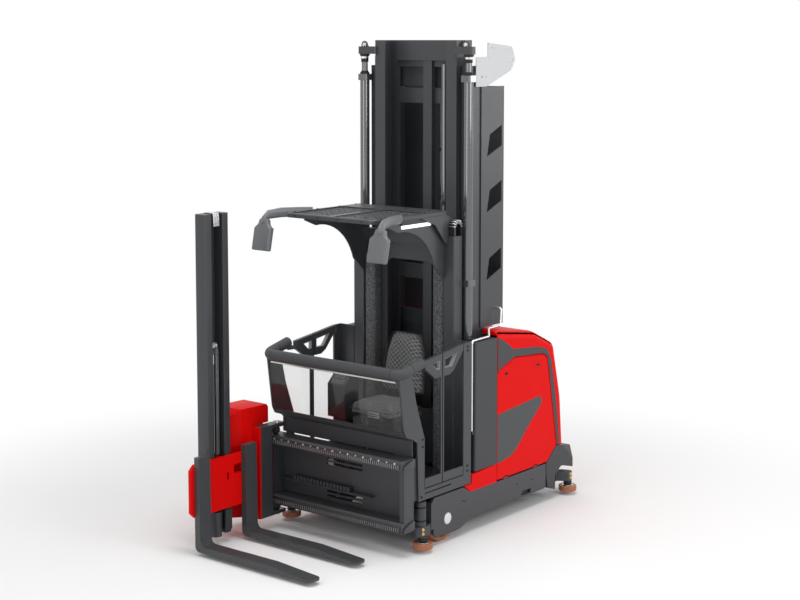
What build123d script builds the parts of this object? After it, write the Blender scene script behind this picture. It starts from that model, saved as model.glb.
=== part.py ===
"""Man-up three-way forklift for very narrow aisles.

+X is the truck's left side, -Y is forward, +Z is up. The floor is z = 0, the centre plane is
x = 0, and y = 0 is the axis of the two front guide rollers. All sizes are in millimetres.
"""
import math
import os

from build123d import *

os.makedirs("parts", exist_ok=True)

# Clearances
move_gap = 6            # between pieces that slide past each other
seam = 6                # between panels that lie side by side
run_gap = 0.3           # between a turning piece and its shaft

# Chassis
half_width = 660        # flank plates, either side of the centre plane
flank_plate = 28
sill_top = 325
sill_bottom = 120
arm_top = 378
arm_front_y = 105
arm_inner_x = 440
arm_plate = 22
shoulder_y = 600        # where the front arm steps down to the sill
beam_depth = 90
floor_plate = 25
bay_front_y = 1475      # front wall of the drive bay
bay_rear_y = 1895
bay_wall = 20
bay_top = 620
hood_foot = 345

# Load wheels
wheel_y = 305
wheel_r = 175
wheel_w = 120
wheel_z = wheel_r
wheel_outer_x = 612
hub_r = 62
axle_r = 22

# Guide rollers
roller_x = 662
roller_front_y = 0
roller_rear_y = 1988
roller_r = 75
roller_bottom = 30
roller_h = 45
roller_pin_r = 14

# Drive unit
drive_y = 1685
drive_r = 170
drive_w = 140
ring_r = 165

# Battery and doors
battery_x = 500
battery_y = (1022, 1458)
battery_h = 660
door_front_y = 958
door_bottom = 338
door_t = 24
pillar_front_y = 662
pillar_top = 1480
strip_top = 470

# Mast
mast_top = 3800
mast_base = sill_bottom
inner_x = 405           # outer side of the inner rails
inner_y = (745, 945)
inner_flange = 100
inner_t = 20
outer_x = 490
outer_y = (800, 1005)
outer_flange = outer_x - inner_x - 7
outer_t = 20
cylinder_x = 518
cylinder_y = 750
cylinder_r = 38
cylinder_top = 3530
lift_rod_r = 25
back_x = 500            # outer side of the plates behind the mast
back_t = 10
fin_top = 3780

# Cab
cab_front_y = -50
cab_rear_y = 605
cab_bottom = 392
cab_floor = 460
side_t = 16
gate_y = (28, 502)
gate_rail = (482, 550)
rail_y = -268
rail_z = 1378
rail_r = 42
rail_end_z = 1436
post_x = (400, 505)
post_y = (588, 695)
post_top = 2300
pad_x = (290, 394)
wall_y = 700
roof_z = 2500
roof_half = 440
roof_front_y = -305
roof_rear_y = 575
roof_t = 34

# Traverse frame
rack_half = 670
rack_front_y = -258
rack_depth = 62
rack_low = (195, 258)
rack_high = (668, 725)
rack_lip = 14
frame_y = -122
tooth = 20

# Turning head
head_x = (-930, -682)
head_y = (-620, -300)
head_z = (140, 1000)
swivel = (-800, -815)
lug_r = 40
aux_x = (-755, -645)
aux_y = (-940, -690)
aux_z = (75, 2440)
channel_y = (-872, -758)
carriage_x = (-636, -608)
carriage_y = (-1150, -490)
carriage_z = (280, 680)
fork_y = (-1055, -560)
fork_w = 120
fork_t = 45
fork_bottom = 30
fork_tip = 535
fork_top = 740
floor_top = 150         # upper side of the chassis floor, where the mast stands
outer_top = 3600
outer_beams = ((floor_top, 330), (1500, 1620), (3430, outer_top))
inner_foot = 166
inner_beams = ((inner_foot, 330), (1880, 2000), (3300, 3420))
mast_roller_zs = (290, 1000)
lift_rod_foot = 900
back_rear_y = 1250
back_foot = 1542
back_top = 3440
carriage_low = 466
carriage_high = 1226
carriage_plate_x = 290
thrust_roller_r = 31
grille_x = 214
grille_w = 376
grille_d = 612
grille_mid_y = 34
grille_pitch = 53
grille_bar = 10
grille_columns = 7
grille_rows = 11
mirror_y = 368
seat_x = 80
gate_axis_x = 634
gate_axis_y = (20, 510)
gate_lugs = ((20, 476), (510, 476), (510, 1430))
gate_rail_lug = (20, 1378)
gate_barrel = 30
lug_levels = ((190, 250), (560, 620), (820, 880))
knuckle_levels = ((251, 311), (499, 559), (881, 941))
swivel_pin_r = 16
aux_ram_x = -700
aux_barrel_top = 1380
aux_rod_r = 13
aux_rod_foot = 420
aux_sheave_z = 1520
aux_sheave_r = 32
aux_chain_foot = (1000, 690)


# Chassis frame: flank plates with their front arms, beams, floor and drive bay
with BuildPart() as chassis_frame:
    arm_outline = [
        (arm_front_y, 140), (arm_front_y, 335), (arm_front_y + 35, arm_top),
        (shoulder_y - 90, arm_top), (shoulder_y, sill_top),
    ]
    arm_foot = [
        (shoulder_y - 30, sill_bottom), (shoulder_y - 50, 98), (shoulder_y - 150, 62),
        (arm_front_y + 70, 66), (arm_front_y + 30, 100), (arm_front_y + 30, 140),
    ]
    with BuildSketch(Plane.YZ.offset(half_width - flank_plate)) as flank:
        with BuildLine():
            Polyline(*arm_outline, (1655, sill_top), (1655, 140), (1640, sill_bottom),
                     *arm_foot, close=True)
        make_face()
        fillet(flank.vertices().sort_by_distance((shoulder_y - 90, arm_top))[0], 60)
        with Locations((1370, 150)):
            SlotOverall(140, 36, mode=Mode.SUBTRACT)
        with Locations((1240, 240), (1460, 235), (500, 275), (530, 265)):
            Circle(7, mode=Mode.SUBTRACT)
        with Locations((wheel_y, wheel_z)):
            Circle(axle_r, mode=Mode.SUBTRACT)
    extrude(amount=flank_plate)
    with BuildSketch(Plane.YZ.offset(arm_inner_x)) as inner_arm:
        with BuildLine():
            Polyline(*arm_outline, (shoulder_y + 60, sill_top), (shoulder_y + 60, sill_bottom),
                     *arm_foot, close=True)
        make_face()
        with Locations((wheel_y, wheel_z)):
            Circle(axle_r, mode=Mode.SUBTRACT)
    extrude(amount=arm_plate)
    with BuildSketch(Plane.XY.offset(arm_top - 14)):
        with Locations(((arm_inner_x + half_width) / 2, (arm_front_y + shoulder_y) / 2 - 30)):
            Rectangle(half_width - arm_inner_x - 10, shoulder_y - arm_front_y - 140)
    extrude(amount=14)
    with BuildSketch(Plane.XZ.offset(-arm_front_y)):
        with Locations(((arm_inner_x + half_width) / 2, 245)):
            Rectangle(half_width - arm_inner_x - 10, 200)
    extrude(amount=-20)
    mirror(about=Plane.YZ)
    with BuildSketch(Plane.YZ.offset(-half_width + flank_plate)):
        with BuildLine():
            Polyline((shoulder_y, sill_bottom), (shoulder_y, sill_top),
                     (shoulder_y + beam_depth, sill_top), (shoulder_y + beam_depth, 150),
                     (bay_front_y, 150), (bay_front_y, bay_top), (bay_rear_y, bay_top),
                     (bay_rear_y, sill_bottom), (bay_rear_y - bay_wall, sill_bottom),
                     (bay_rear_y - bay_wall, bay_top - 30), (bay_front_y + bay_wall, bay_top - 30),
                     (bay_front_y + bay_wall, 150 - floor_plate), (shoulder_y + 20, 150 - floor_plate),
                     (shoulder_y + 20, sill_bottom), close=True)
        make_face()
    extrude(amount=2 * (half_width - flank_plate))
    with BuildSketch(Plane.XY):
        for side in (-1, 1):
            with Locations((side * (half_width - 5), (1655 + 2000) / 2 + 1)):
                Rectangle(70, 345)
    extrude(amount=bay_top + 10, mode=Mode.SUBTRACT)
    with BuildSketch(Plane.XY.offset(bay_top - 40)):
        with Locations((0, drive_y)):
            Circle(ring_r - 40)
    extrude(amount=50, mode=Mode.SUBTRACT)
    with BuildSketch(Plane.XY.offset(hood_foot - 20)):
        with Locations((0, bay_rear_y + 28)):
            Rectangle(1000, 56)
    extrude(amount=20)
chassis_frame.part.label = "chassis_frame"
export_step(chassis_frame.part, "parts/chassis_frame.step")

# Battery: one plain block at its real size and place
with BuildPart() as battery_block:
    with BuildSketch(Plane.XY.offset(150)):
        with Locations((0, (battery_y[0] + battery_y[1]) / 2)):
            Rectangle(2 * battery_x, battery_y[1] - battery_y[0])
    extrude(amount=battery_h)
battery_block.part.label = "battery_block"
export_step(battery_block.part, "parts/battery_block.step")

# Red strips between the sill and the doors' front edge
with BuildPart() as side_strips:
    with BuildSketch(Plane.YZ.offset(half_width - flank_plate)) as strip:
        with BuildLine():
            Polyline((512, arm_top + 6), (616, arm_top + 6), (622, 455), (door_front_y - seam, strip_top),
                     (door_front_y - seam, sill_top), (shoulder_y + 4, sill_top),
                     (shoulder_y - 62, arm_top - 4), close=True)
        make_face()
        fillet(strip.vertices().sort_by_distance((616, arm_top + 6))[0], 12)
    extrude(amount=flank_plate)
    mirror(about=Plane.YZ)
side_strips.part.label = "side_strips"
export_step(side_strips.part, "parts/side_strips.step")

# Dark covers over the foot of the mast, open round the lift cylinders
with BuildPart() as pillar_covers:
    with BuildSketch(Plane.XY.offset(strip_top)) as cover:
        with BuildLine():
            Polyline((half_width, pillar_front_y), (half_width, door_front_y - seam),
                     (half_width - 18, door_front_y - seam), (half_width - 18, pillar_front_y + 18),
                     (575, pillar_front_y + 18), (575, pillar_front_y), close=True)
        make_face()
        fillet(cover.vertices().sort_by_distance((half_width, pillar_front_y))[0], 15)
    extrude(amount=pillar_top - strip_top)
    with BuildSketch(Plane.XY.offset(pillar_top - 30)):
        with BuildLine():
            Polyline((half_width - 6, pillar_front_y + 6), (half_width - 6, door_front_y - seam),
                     (575, door_front_y - seam), (575, pillar_front_y + 6), close=True)
        make_face()
    extrude(amount=30)
    mirror(about=Plane.YZ)
    with BuildSketch(Plane.XY.offset(765)):
        with Locations((636, 650)):
            Rectangle(26, 24)
    extrude(amount=25)
pillar_covers.part.label = "pillar_covers"
export_step(pillar_covers.part, "parts/pillar_covers.step")

# Rear hood: one moulded shell over the battery and the drive, with door openings in its flanks
hood_front = door_front_y + seam
hood_side = [
    (hood_front, 1528), (1012, 1528), (1500, 1455), (1790, 1320), (1905, 860), (1950, hood_foot),
    (hood_front, hood_foot),
]
hood_rounds = [((1012, 1528), 200), ((1500, 1455), 300), ((1790, 1320), 90), ((1905, 860), 900)]
hood_skin = 15
door_side = [
    (door_front_y, door_bottom), (door_front_y, 1190), (1005, 1222), (1200, 1285), (1600, 1252),
    (1664, 1218), (1812, 458), (1668, door_bottom),
]
with BuildPart() as rear_hood:
    with BuildSketch(Plane.YZ.offset(-half_width + 1)) as hood_outline:
        with BuildLine():
            Polyline(*hood_side, close=True)
        make_face()
        for corner, radius in hood_rounds:
            fillet(hood_outline.vertices().sort_by_distance(corner)[0], radius)
    extrude(amount=2 * half_width - 2)
    rim = rear_hood.edges().filter_by(lambda e: abs(e.center().X) > half_width - 2)
    fillet(rim.filter_by(lambda e: e.center().Z > 400 and e.center().Y > hood_front + 5), 70)
    with BuildSketch(Plane.YZ.offset(-half_width + hood_skin)) as hood_inside:
        with BuildLine():
            Polyline(*hood_side, close=True)
        make_face()
        for corner, radius in hood_rounds:
            fillet(hood_inside.vertices().sort_by_distance(corner)[0], radius)
        offset(amount=-hood_skin)
        with Locations((hood_front, 500)):
            Rectangle(40, 1990)
        with Locations((1400, 345)):
            Rectangle(1020, 80)
    extrude(amount=2 * (half_width - hood_skin), mode=Mode.SUBTRACT)
    with BuildSketch(Plane.YZ.offset(-half_width)):
        with BuildLine():
            Polyline(*door_side, close=True)
        make_face()
        offset(amount=seam)
        with Locations((1400, 345)):
            Rectangle(760, 40)
    extrude(amount=2 * half_width, mode=Mode.SUBTRACT)
    with BuildSketch(Plane.XY.offset(300)):
        with Locations((0, hood_front)):
            Rectangle(2 * (outer_x + 15), 2 * (outer_y[1] + 8 - hood_front))
    extrude(amount=1400, mode=Mode.SUBTRACT)
    for start in (-half_width, half_width - 134):
        with BuildSketch(Plane.YZ.offset(start)):
            with BuildLine():
                Polyline((1640, 300), (1640, 334), (1812, 458), (2000, 420), (2000, 300), close=True)
            make_face()
        extrude(amount=134, mode=Mode.SUBTRACT)
rear_hood.part.label = "rear_hood"
export_step(rear_hood.part, "parts/rear_hood.step")

# Battery doors: red panels that swing down about their lower edge
door_axis_x = half_width - 2
door_axis_z = door_bottom - 2
knuckle_r = 5
door_pin_r = 2.5
knuckle_ys = (1080, 1500)
for name, side in (("door_left", 1), ("door_right", -1)):
    with BuildPart() as door:
        with BuildSketch(Plane.YZ.offset(side * (half_width - door_t))) as panel:
            with BuildLine():
                Polyline(*door_side, close=True)
            make_face()
            fillet(panel.vertices().sort_by_distance((1664, 1218))[0], 30)
            for y in knuckle_ys:
                with Locations((y, door_bottom)):
                    Rectangle(64, 24, mode=Mode.SUBTRACT)
        extrude(amount=side * door_t)
        outer_rim = door.edges().filter_by(lambda e: abs(e.center().X) > half_width - 1)
        chamfer(outer_rim.filter_by(lambda e: e.center().Z > 1150), 6)
        with BuildSketch(Plane.YZ.offset(side * (half_width - 3))):
            with Locations((1080, 1175), (1530, 1175)):
                Rectangle(44, 22)
        extrude(amount=side * 3, mode=Mode.SUBTRACT)
        for y in knuckle_ys:
            with BuildSketch(Plane.XZ.offset(-(y + 33))):
                with Locations((side * door_axis_x, door_axis_z)):
                    Circle(knuckle_r)
            extrude(amount=66)
            with BuildSketch(Plane.XZ.offset(-(y + 18 + run_gap))):
                with Locations((side * door_axis_x, door_axis_z)):
                    Circle(knuckle_r + 1)
            extrude(amount=36 + 2 * run_gap, mode=Mode.SUBTRACT)
            with BuildSketch(Plane.XZ.offset(-(y + 33))):
                with Locations((side * door_axis_x, door_axis_z)):
                    Circle(door_pin_r + run_gap)
            extrude(amount=66, mode=Mode.SUBTRACT)
    door.part.label = name
    export_step(door.part, f"parts/{name}.step")

# Lugs on the sill that carry the doors' pins
with BuildPart() as door_lugs:
    for y in knuckle_ys:
        with BuildSketch(Plane.XZ.offset(-(y + 18))):
            with BuildLine():
                Polyline((half_width - flank_plate, sill_top), (door_axis_x - 12, sill_top),
                         (door_axis_x + 2, door_axis_z - 8), (door_axis_x + 2, door_axis_z + 6),
                         (door_axis_x - 24, door_axis_z + 6), close=True)
            make_face()
        extrude(amount=36)
        with BuildSketch(Plane.XZ.offset(-(y + 33))):
            with Locations((door_axis_x, door_axis_z)):
                Circle(door_pin_r)
        extrude(amount=66)
    mirror(about=Plane.YZ)
door_lugs.part.label = "door_lugs"
export_step(door_lugs.part, "parts/door_lugs.step")

# Rear corner fairings, arched over the rear guide rollers
fairing_side = [
    (1816, 450), (1664, 325), (1667, 220), (1690, 112), (1800, 76), (1802, 200), (1890, 262),
    (2068, 215), (2068, 400),
]
with BuildPart() as corner_fairings:
    with BuildSketch(Plane.YZ.offset(half_width - 130)) as fairing:
        with BuildLine():
            Polyline(*fairing_side, close=True)
        make_face()
        fillet(fairing.vertices().sort_by_distance((1890, 262))[0], 60)
    extrude(amount=130)
    split(bisect_by=Plane(origin=(half_width, 1950, 400), z_dir=(1.0, 0.26, 0.28)), keep=Keep.BOTTOM)
    with BuildSketch(Plane.XY):
        with Locations((half_width - 130 + 45, bay_rear_y - 130)):
            Rectangle(90, 260)
    extrude(amount=500, mode=Mode.SUBTRACT)
    mirror(about=Plane.YZ)
corner_fairings.part.label = "corner_fairings"
export_step(corner_fairings.part, "parts/corner_fairings.step")

# Brackets that hold the four guide rollers, with their pins
with BuildPart() as roller_brackets:
    with BuildSketch(Plane.XY.offset(118)) as front_bracket:
        with BuildLine():
            Polyline((608, -48), (640, -55), (672, -30), (672, 70), (655, arm_front_y),
                     (560, arm_front_y), (560, 60), (590, 0), close=True)
        make_face()
        fillet(front_bracket.vertices().sort_by_distance((640, -55))[0], 20)
    extrude(amount=74)
    with BuildSketch(Plane.XY.offset(192)):
        with Locations((622, 14)):
            Circle(46)
    extrude(amount=cab_bottom - 192 - 14)
    with BuildSketch(Plane.XY.offset(roller_bottom + roller_h + 6)):
        with Locations((roller_x, roller_front_y)):
            Circle(30)
    extrude(amount=118 - roller_bottom - roller_h - 6)
    with BuildSketch(Plane.XY.offset(roller_bottom - 6)):
        with Locations((roller_x, roller_front_y), (roller_x, roller_rear_y)):
            Circle(roller_pin_r)
    extrude(amount=140 - roller_bottom)
    with BuildSketch(Plane.XY.offset(118)) as rear_bracket:
        with BuildLine():
            Polyline((500, bay_rear_y), (612, bay_rear_y), (690, 1950), (696, 2010), (662, 2030),
                     (600, 2010), (500, bay_rear_y + 40), close=True)
        make_face()
        fillet(rear_bracket.vertices().sort_by_distance((696, 2010))[0], 25)
    extrude(amount=74)
    with BuildSketch(Plane.XY.offset(roller_bottom + roller_h + 6)):
        with Locations((roller_x, roller_rear_y)):
            Circle(30)
    extrude(amount=118 - roller_bottom - roller_h - 6)
    mirror(about=Plane.YZ)
roller_brackets.part.label = "roller_brackets"
export_step(roller_brackets.part, "parts/roller_brackets.step")

# Four guide rollers on upright pins
roller_places = {
    "guide_roller_front_left": (roller_x, roller_front_y),
    "guide_roller_front_right": (-roller_x, roller_front_y),
    "guide_roller_rear_left": (roller_x, roller_rear_y),
    "guide_roller_rear_right": (-roller_x, roller_rear_y),
}
for name, (x, y) in roller_places.items():
    with BuildPart() as roller:
        with BuildSketch(Plane.XY.offset(roller_bottom)):
            with Locations((x, y)):
                Circle(roller_r)
                Circle(roller_pin_r + run_gap, mode=Mode.SUBTRACT)
        extrude(amount=roller_h)
        chamfer(roller.edges().filter_by(lambda e: e.length > 2 * math.pi * (roller_r - 1)), 4)
    roller.part.label = name
    export_step(roller.part, f"parts/{name}.step")

# Load wheels in the front arms, and the axles with their caps
for name, side in (("load_wheel_left", 1), ("load_wheel_right", -1)):
    with BuildPart() as wheel:
        with BuildSketch(Plane.YZ.offset(side * (wheel_outer_x - wheel_w))):
            with Locations((wheel_y, wheel_z)):
                Circle(wheel_r)
                Circle(axle_r + run_gap, mode=Mode.SUBTRACT)
        extrude(amount=side * wheel_w)
        chamfer(wheel.edges().filter_by(lambda e: e.length > 2 * math.pi * (wheel_r - 1)), 8)
        for face_x, depth in ((wheel_outer_x, -18), (wheel_outer_x - wheel_w, 18)):
            with BuildSketch(Plane.YZ.offset(side * face_x)):
                with Locations((wheel_y, wheel_z)):
                    Circle(wheel_r - 32)
                    Circle(hub_r, mode=Mode.SUBTRACT)
            extrude(amount=side * depth, mode=Mode.SUBTRACT)
    wheel.part.label = name
    export_step(wheel.part, f"parts/{name}.step")

with BuildPart() as wheel_axles:
    with BuildSketch(Plane.YZ.offset(arm_inner_x - 4)):
        with Locations((wheel_y, wheel_z)):
            Circle(axle_r)
    extrude(amount=half_width - arm_inner_x + 6)
    with BuildSketch(Plane.YZ.offset(half_width)):
        with Locations((wheel_y, wheel_z + 10)):
            Circle(45)
    extrude(amount=5)
    for collar_x, width in ((arm_inner_x + arm_plate, 20), (wheel_outer_x + 4, 16)):
        with BuildSketch(Plane.YZ.offset(collar_x)):
            with Locations((wheel_y, wheel_z)):
                Circle(axle_r + 12)
        extrude(amount=width)
    mirror(about=Plane.YZ)
wheel_axles.part.label = "wheel_axles"
export_step(wheel_axles.part, "parts/wheel_axles.step")

# Drive unit: slewing head, gear case, motor on top, and the fork that holds the drive wheel
with BuildPart() as drive_unit:
    with BuildSketch(Plane.XY.offset(bay_top + run_gap)):
        with Locations((0, drive_y)):
            Circle(ring_r)
    extrude(amount=45)
    with BuildSketch(Plane.XY.offset(430)):
        with Locations((0, drive_y)):
            Circle(ring_r - 45)
    extrude(amount=bay_top - 430 + 10)
    with BuildSketch(Plane.XY.offset(bay_top + 45)):
        with Locations((0, drive_y)):
            Circle(110)
    extrude(amount=330)
    with BuildSketch(Plane.XY.offset(400)):
        with Locations((-20, drive_y)):
            Rectangle(drive_w + 110, 190)
    extrude(amount=50)
    with BuildSketch(Plane.YZ.offset(-drive_w / 2 - 85)):
        with BuildLine():
            Polyline((drive_y - 90, 450), (drive_y + 90, 450), (drive_y + 80, drive_r),
                     (drive_y + 40, drive_r - 70), (drive_y - 40, drive_r - 70),
                     (drive_y - 80, drive_r), close=True)
        make_face()
    extrude(amount=70)
    with BuildSketch(Plane.YZ.offset(-drive_w / 2 - 20)):
        with Locations((drive_y, drive_r)):
            Circle(32)
    extrude(amount=drive_w + 30)
drive_unit.part.label = "drive_unit"
export_step(drive_unit.part, "parts/drive_unit.step")

with BuildPart() as drive_wheel:
    with BuildSketch(Plane.YZ.offset(-drive_w / 2)):
        with Locations((drive_y, drive_r)):
            Circle(drive_r)
            Circle(32 + run_gap, mode=Mode.SUBTRACT)
    extrude(amount=drive_w)
    chamfer(drive_wheel.edges().filter_by(lambda e: e.length > 2 * math.pi * (drive_r - 1)), 8)
drive_wheel.part.label = "drive_wheel"
export_step(drive_wheel.part, "parts/drive_wheel.step")

# Outer mast: two channels open towards the centre, joined behind and at the foot
with BuildPart() as mast_outer:
    with BuildSketch(Plane.XY.offset(floor_top)):
        with BuildLine():
            Polyline((outer_x, outer_y[0]), (outer_x, outer_y[1]), (outer_x - outer_flange, outer_y[1]),
                     (outer_x - outer_flange, outer_y[1] - outer_t), (outer_x - outer_t, outer_y[1] - outer_t),
                     (outer_x - outer_t, outer_y[0] + outer_t), (outer_x - outer_flange, outer_y[0] + outer_t),
                     (outer_x - outer_flange, outer_y[0]), close=True)
        make_face()
    extrude(amount=outer_top - floor_top)
    mirror(about=Plane.YZ)
    for low, high in outer_beams:
        with BuildSketch(Plane.XY.offset(low)):
            with Locations((0, outer_y[1] - outer_t / 2)):
                Rectangle(2 * outer_x - 10, outer_t)
        extrude(amount=high - low)
mast_outer.part.label = "mast_outer"
export_step(mast_outer.part, "parts/mast_outer.step")

# Plates behind the mast, with the slanting windows, and the light fins at their top
window_rows = (1870, 2410, 2850)
with BuildPart() as mast_back_plates:
    with BuildSketch(Plane.YZ.offset(back_x - back_t)):
        with Locations(((outer_y[1] - 60 + back_rear_y) / 2, (back_foot + back_top) / 2)):
            Rectangle(back_rear_y - outer_y[1] + 60, back_top - back_foot)
        for z in window_rows:
            with BuildLine():
                Polyline((1022, z + 40), (1060, z + 215), (1222, z + 285), (1222, z + 120), close=True)
            make_face(mode=Mode.SUBTRACT)
    extrude(amount=back_t)
    mirror(about=Plane.YZ)
    for z in (1640, 2330, 3250):
        with BuildSketch(Plane.XZ.offset(-(back_rear_y - back_t))):
            with Locations((0, z)):
                Rectangle(2 * back_x - back_t, 150)
        extrude(amount=-back_t)
mast_back_plates.part.label = "mast_back_plates"
export_step(mast_back_plates.part, "parts/mast_back_plates.step")

with BuildPart() as mast_fins:
    with BuildSketch(Plane.YZ.offset(back_x)) as fin:
        with BuildLine():
            Polyline((864, 3440), (864, 3670), (1020, 3670), (1020, fin_top), (1350, fin_top - 30),
                     (1395, 3640), (1330, 3560), (1000, 3440), close=True)
        make_face()
        fillet(fin.vertices().sort_by_distance((1395, 3640))[0], 40)
        fillet(fin.vertices().sort_by_distance((1350, fin_top - 30))[0], 30)
        with Locations((1065, 3735), (1375 - 25, 3640), (940, 3515), (990, 3515)):
            Circle(9, mode=Mode.SUBTRACT)
    extrude(amount=6)
    with BuildSketch(Plane.YZ.offset(outer_x)):
        with Locations((930, 3515)):
            Rectangle(120, 70)
    extrude(amount=back_x - outer_x)
    mirror(about=Plane.YZ)
mast_fins.part.label = "mast_fins"
export_step(mast_fins.part, "parts/mast_fins.step")

# Lift cylinders: bored barrels on the chassis floor, clamped to the outer mast
with BuildPart() as lift_cylinders:
    with BuildSketch(Plane.XY.offset(floor_top)):
        with Locations((cylinder_x, cylinder_y)):
            Circle(cylinder_r)
    extrude(amount=cylinder_top - floor_top)
    for low in (1900, cylinder_top - 50):
        with BuildSketch(Plane.XY.offset(low)):
            with Locations((cylinder_x - 4, (cylinder_y + outer_y[0]) / 2 - 20)):
                RectangleRounded(92, outer_y[0] - cylinder_y + 40, 12)
        extrude(amount=50)
    with BuildSketch(Plane.XY.offset(lift_rod_foot - move_gap)):
        with Locations((cylinder_x, cylinder_y)):
            Circle(lift_rod_r + run_gap)
    extrude(amount=cylinder_top - lift_rod_foot + move_gap, mode=Mode.SUBTRACT)
    mirror(about=Plane.YZ)
lift_cylinders.part.label = "lift_cylinders"
export_step(lift_cylinders.part, "parts/lift_cylinders.step")

# Hose from the back plate over the left cover
with BuildPart() as flank_hose:
    with BuildLine() as hose_line:
        FilletPolyline((back_x, 1150, 1680), (556, 1150, 1680), (562, 1130, 1546), (575, 950, 1546),
                       (622, 890, 1496), (636, 646, 1496), (636, 646, 790.3), radius=24)
    with BuildSketch(Plane(origin=hose_line.line @ 0, z_dir=hose_line.line % 0)):
        Circle(9)
    sweep()
flank_hose.part.label = "flank_hose"
export_step(flank_hose.part, "parts/flank_hose.step")

# Inner mast: two channels open towards the centre, with crossheads, centre column and rollers
with BuildPart() as mast_inner:
    with BuildSketch(Plane.XY.offset(inner_foot)):
        with BuildLine():
            Polyline((inner_x, inner_y[0]), (inner_x, inner_y[1]), (inner_x - inner_flange, inner_y[1]),
                     (inner_x - inner_flange, inner_y[1] - inner_t), (inner_x - inner_t, inner_y[1] - inner_t),
                     (inner_x - inner_t, inner_y[0] + inner_t), (inner_x - inner_flange, inner_y[0] + inner_t),
                     (inner_x - inner_flange, inner_y[0]), close=True)
        make_face()
    extrude(amount=mast_top - inner_foot)
    for z in mast_roller_zs:
        with BuildSketch(Plane.YZ.offset(inner_x)):
            with Locations(((outer_y[0] + outer_y[1]) / 2, z)):
                Circle((outer_y[1] - outer_y[0]) / 2 - outer_t - run_gap)
        extrude(amount=outer_x - outer_t - inner_x - run_gap)
    with BuildSketch(Plane.XY.offset(mast_top - 110)):
        with Locations(((cylinder_x + inner_x) / 2 + 14, cylinder_y)):
            RectangleRounded(cylinder_x - inner_x + 68, 60, 14)
    extrude(amount=60)
    mirror(about=Plane.YZ)
    for low, high in inner_beams:
        with BuildSketch(Plane.XY.offset(low)):
            with Locations((0, inner_y[1] + 8)):
                Rectangle(2 * inner_x - 20, 16)
        extrude(amount=high - low)
    with BuildSketch(Plane.XY.offset(mast_top - 160)):
        with Locations((0, inner_y[1] - 32)):
            Rectangle(2 * (inner_x - inner_flange) + 20, 24)
    extrude(amount=160)
    with BuildSketch(Plane.XY.offset(inner_foot + 20)):
        with Locations((0, inner_y[1] - 16)):
            Rectangle(86, 48)
    extrude(amount=mast_top - 180 - inner_foot)
mast_inner.part.label = "mast_inner"
export_step(mast_inner.part, "parts/mast_inner.step")

with BuildPart() as mast_rods:
    with BuildSketch(Plane.XY.offset(lift_rod_foot)):
        with Locations((cylinder_x, cylinder_y), (-cylinder_x, cylinder_y)):
            Circle(lift_rod_r)
    extrude(amount=mast_top - 110 - lift_rod_foot)
    with BuildSketch(Plane.XY.offset(inner_foot + 60)):
        with Locations((170, inner_y[1] - 36)):
            Circle(30)
    extrude(amount=mast_top - 250 - inner_foot)
    with BuildSketch(Plane.XY.offset(inner_foot + 40)):
        with Locations((170, inner_y[1] - 12)):
            Rectangle(80, 24)
    extrude(amount=40)
mast_rods.part.label = "mast_rods"
export_step(mast_rods.part, "parts/mast_rods.step")

# Cab carriage: the plates and rollers that run in the inner mast
with BuildPart() as cab_carriage:
    with BuildSketch(Plane.YZ.offset(carriage_plate_x - 15)):
        with Locations(((wall_y + inner_y[1] - inner_t - 4) / 2, (carriage_low + carriage_high) / 2)):
            RectangleRounded(inner_y[1] - inner_t - 4 - wall_y, carriage_high - carriage_low, 30)
    extrude(amount=15)
    for z in (carriage_low + 80, carriage_high - 80):
        with BuildSketch(Plane.YZ.offset(carriage_plate_x)):
            with Locations(((inner_y[0] + inner_y[1]) / 2, z)):
                Circle((inner_y[1] - inner_y[0]) / 2 - inner_t - run_gap)
        extrude(amount=inner_x - inner_t - carriage_plate_x - run_gap)
    mirror(about=Plane.YZ)
    for z in (carriage_low + 20, carriage_high - 100):
        with BuildSketch(Plane.XY.offset(z)):
            with Locations((0, wall_y + 12)):
                Rectangle(2 * post_x[0] + 120, 24)
        extrude(amount=80)
cab_carriage.part.label = "cab_carriage"
export_step(cab_carriage.part, "parts/cab_carriage.step")

# Cab rear frame: the two tall posts, their cross beams and the wall with its rounded window
with BuildPart() as cab_rear_frame:
    with BuildSketch(Plane.XY.offset(cab_floor)):
        with Locations(((post_x[0] + post_x[1]) / 2, (post_y[0] + wall_y) / 2)):
            RectangleRounded(post_x[1] - post_x[0], wall_y - post_y[0], 10)
    extrude(amount=post_top - cab_floor)
    with BuildSketch(Plane.XZ.offset(-(cab_rear_y - side_t))):
        with Locations(((post_x[1] + half_width - side_t) / 2, (cab_bottom + 1500) / 2)):
            Rectangle(half_width - side_t - post_x[1], 1500 - cab_bottom)
    extrude(amount=-side_t)
    with BuildSketch(Plane.YZ.offset(post_x[0] + 30)):
        with BuildLine():
            Polyline((690, 2250), (690, 2430), (570, roof_z - roof_t), (250, roof_z - roof_t),
                     (430, 2400), (560, 2250), close=True)
        make_face()
    extrude(amount=15)
    mirror(about=Plane.YZ)
    with BuildSketch(Plane.XZ.offset(-(wall_y - 14))):
        with Locations((0, (cab_floor + post_top) / 2)):
            Rectangle(2 * post_x[0] + 10, post_top - cab_floor)
        with Locations((0, 1480)):
            RectangleRounded(470, 1180, 60, mode=Mode.SUBTRACT)
    extrude(amount=-14)
    with BuildSketch(Plane.XY.offset(post_top - 90)):
        with Locations((0, (post_y[0] + wall_y) / 2 + 20)):
            Rectangle(2 * post_x[0] + 10, 60)
    extrude(amount=90)
cab_rear_frame.part.label = "cab_rear_frame"
export_step(cab_rear_frame.part, "parts/cab_rear_frame.step")

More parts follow.
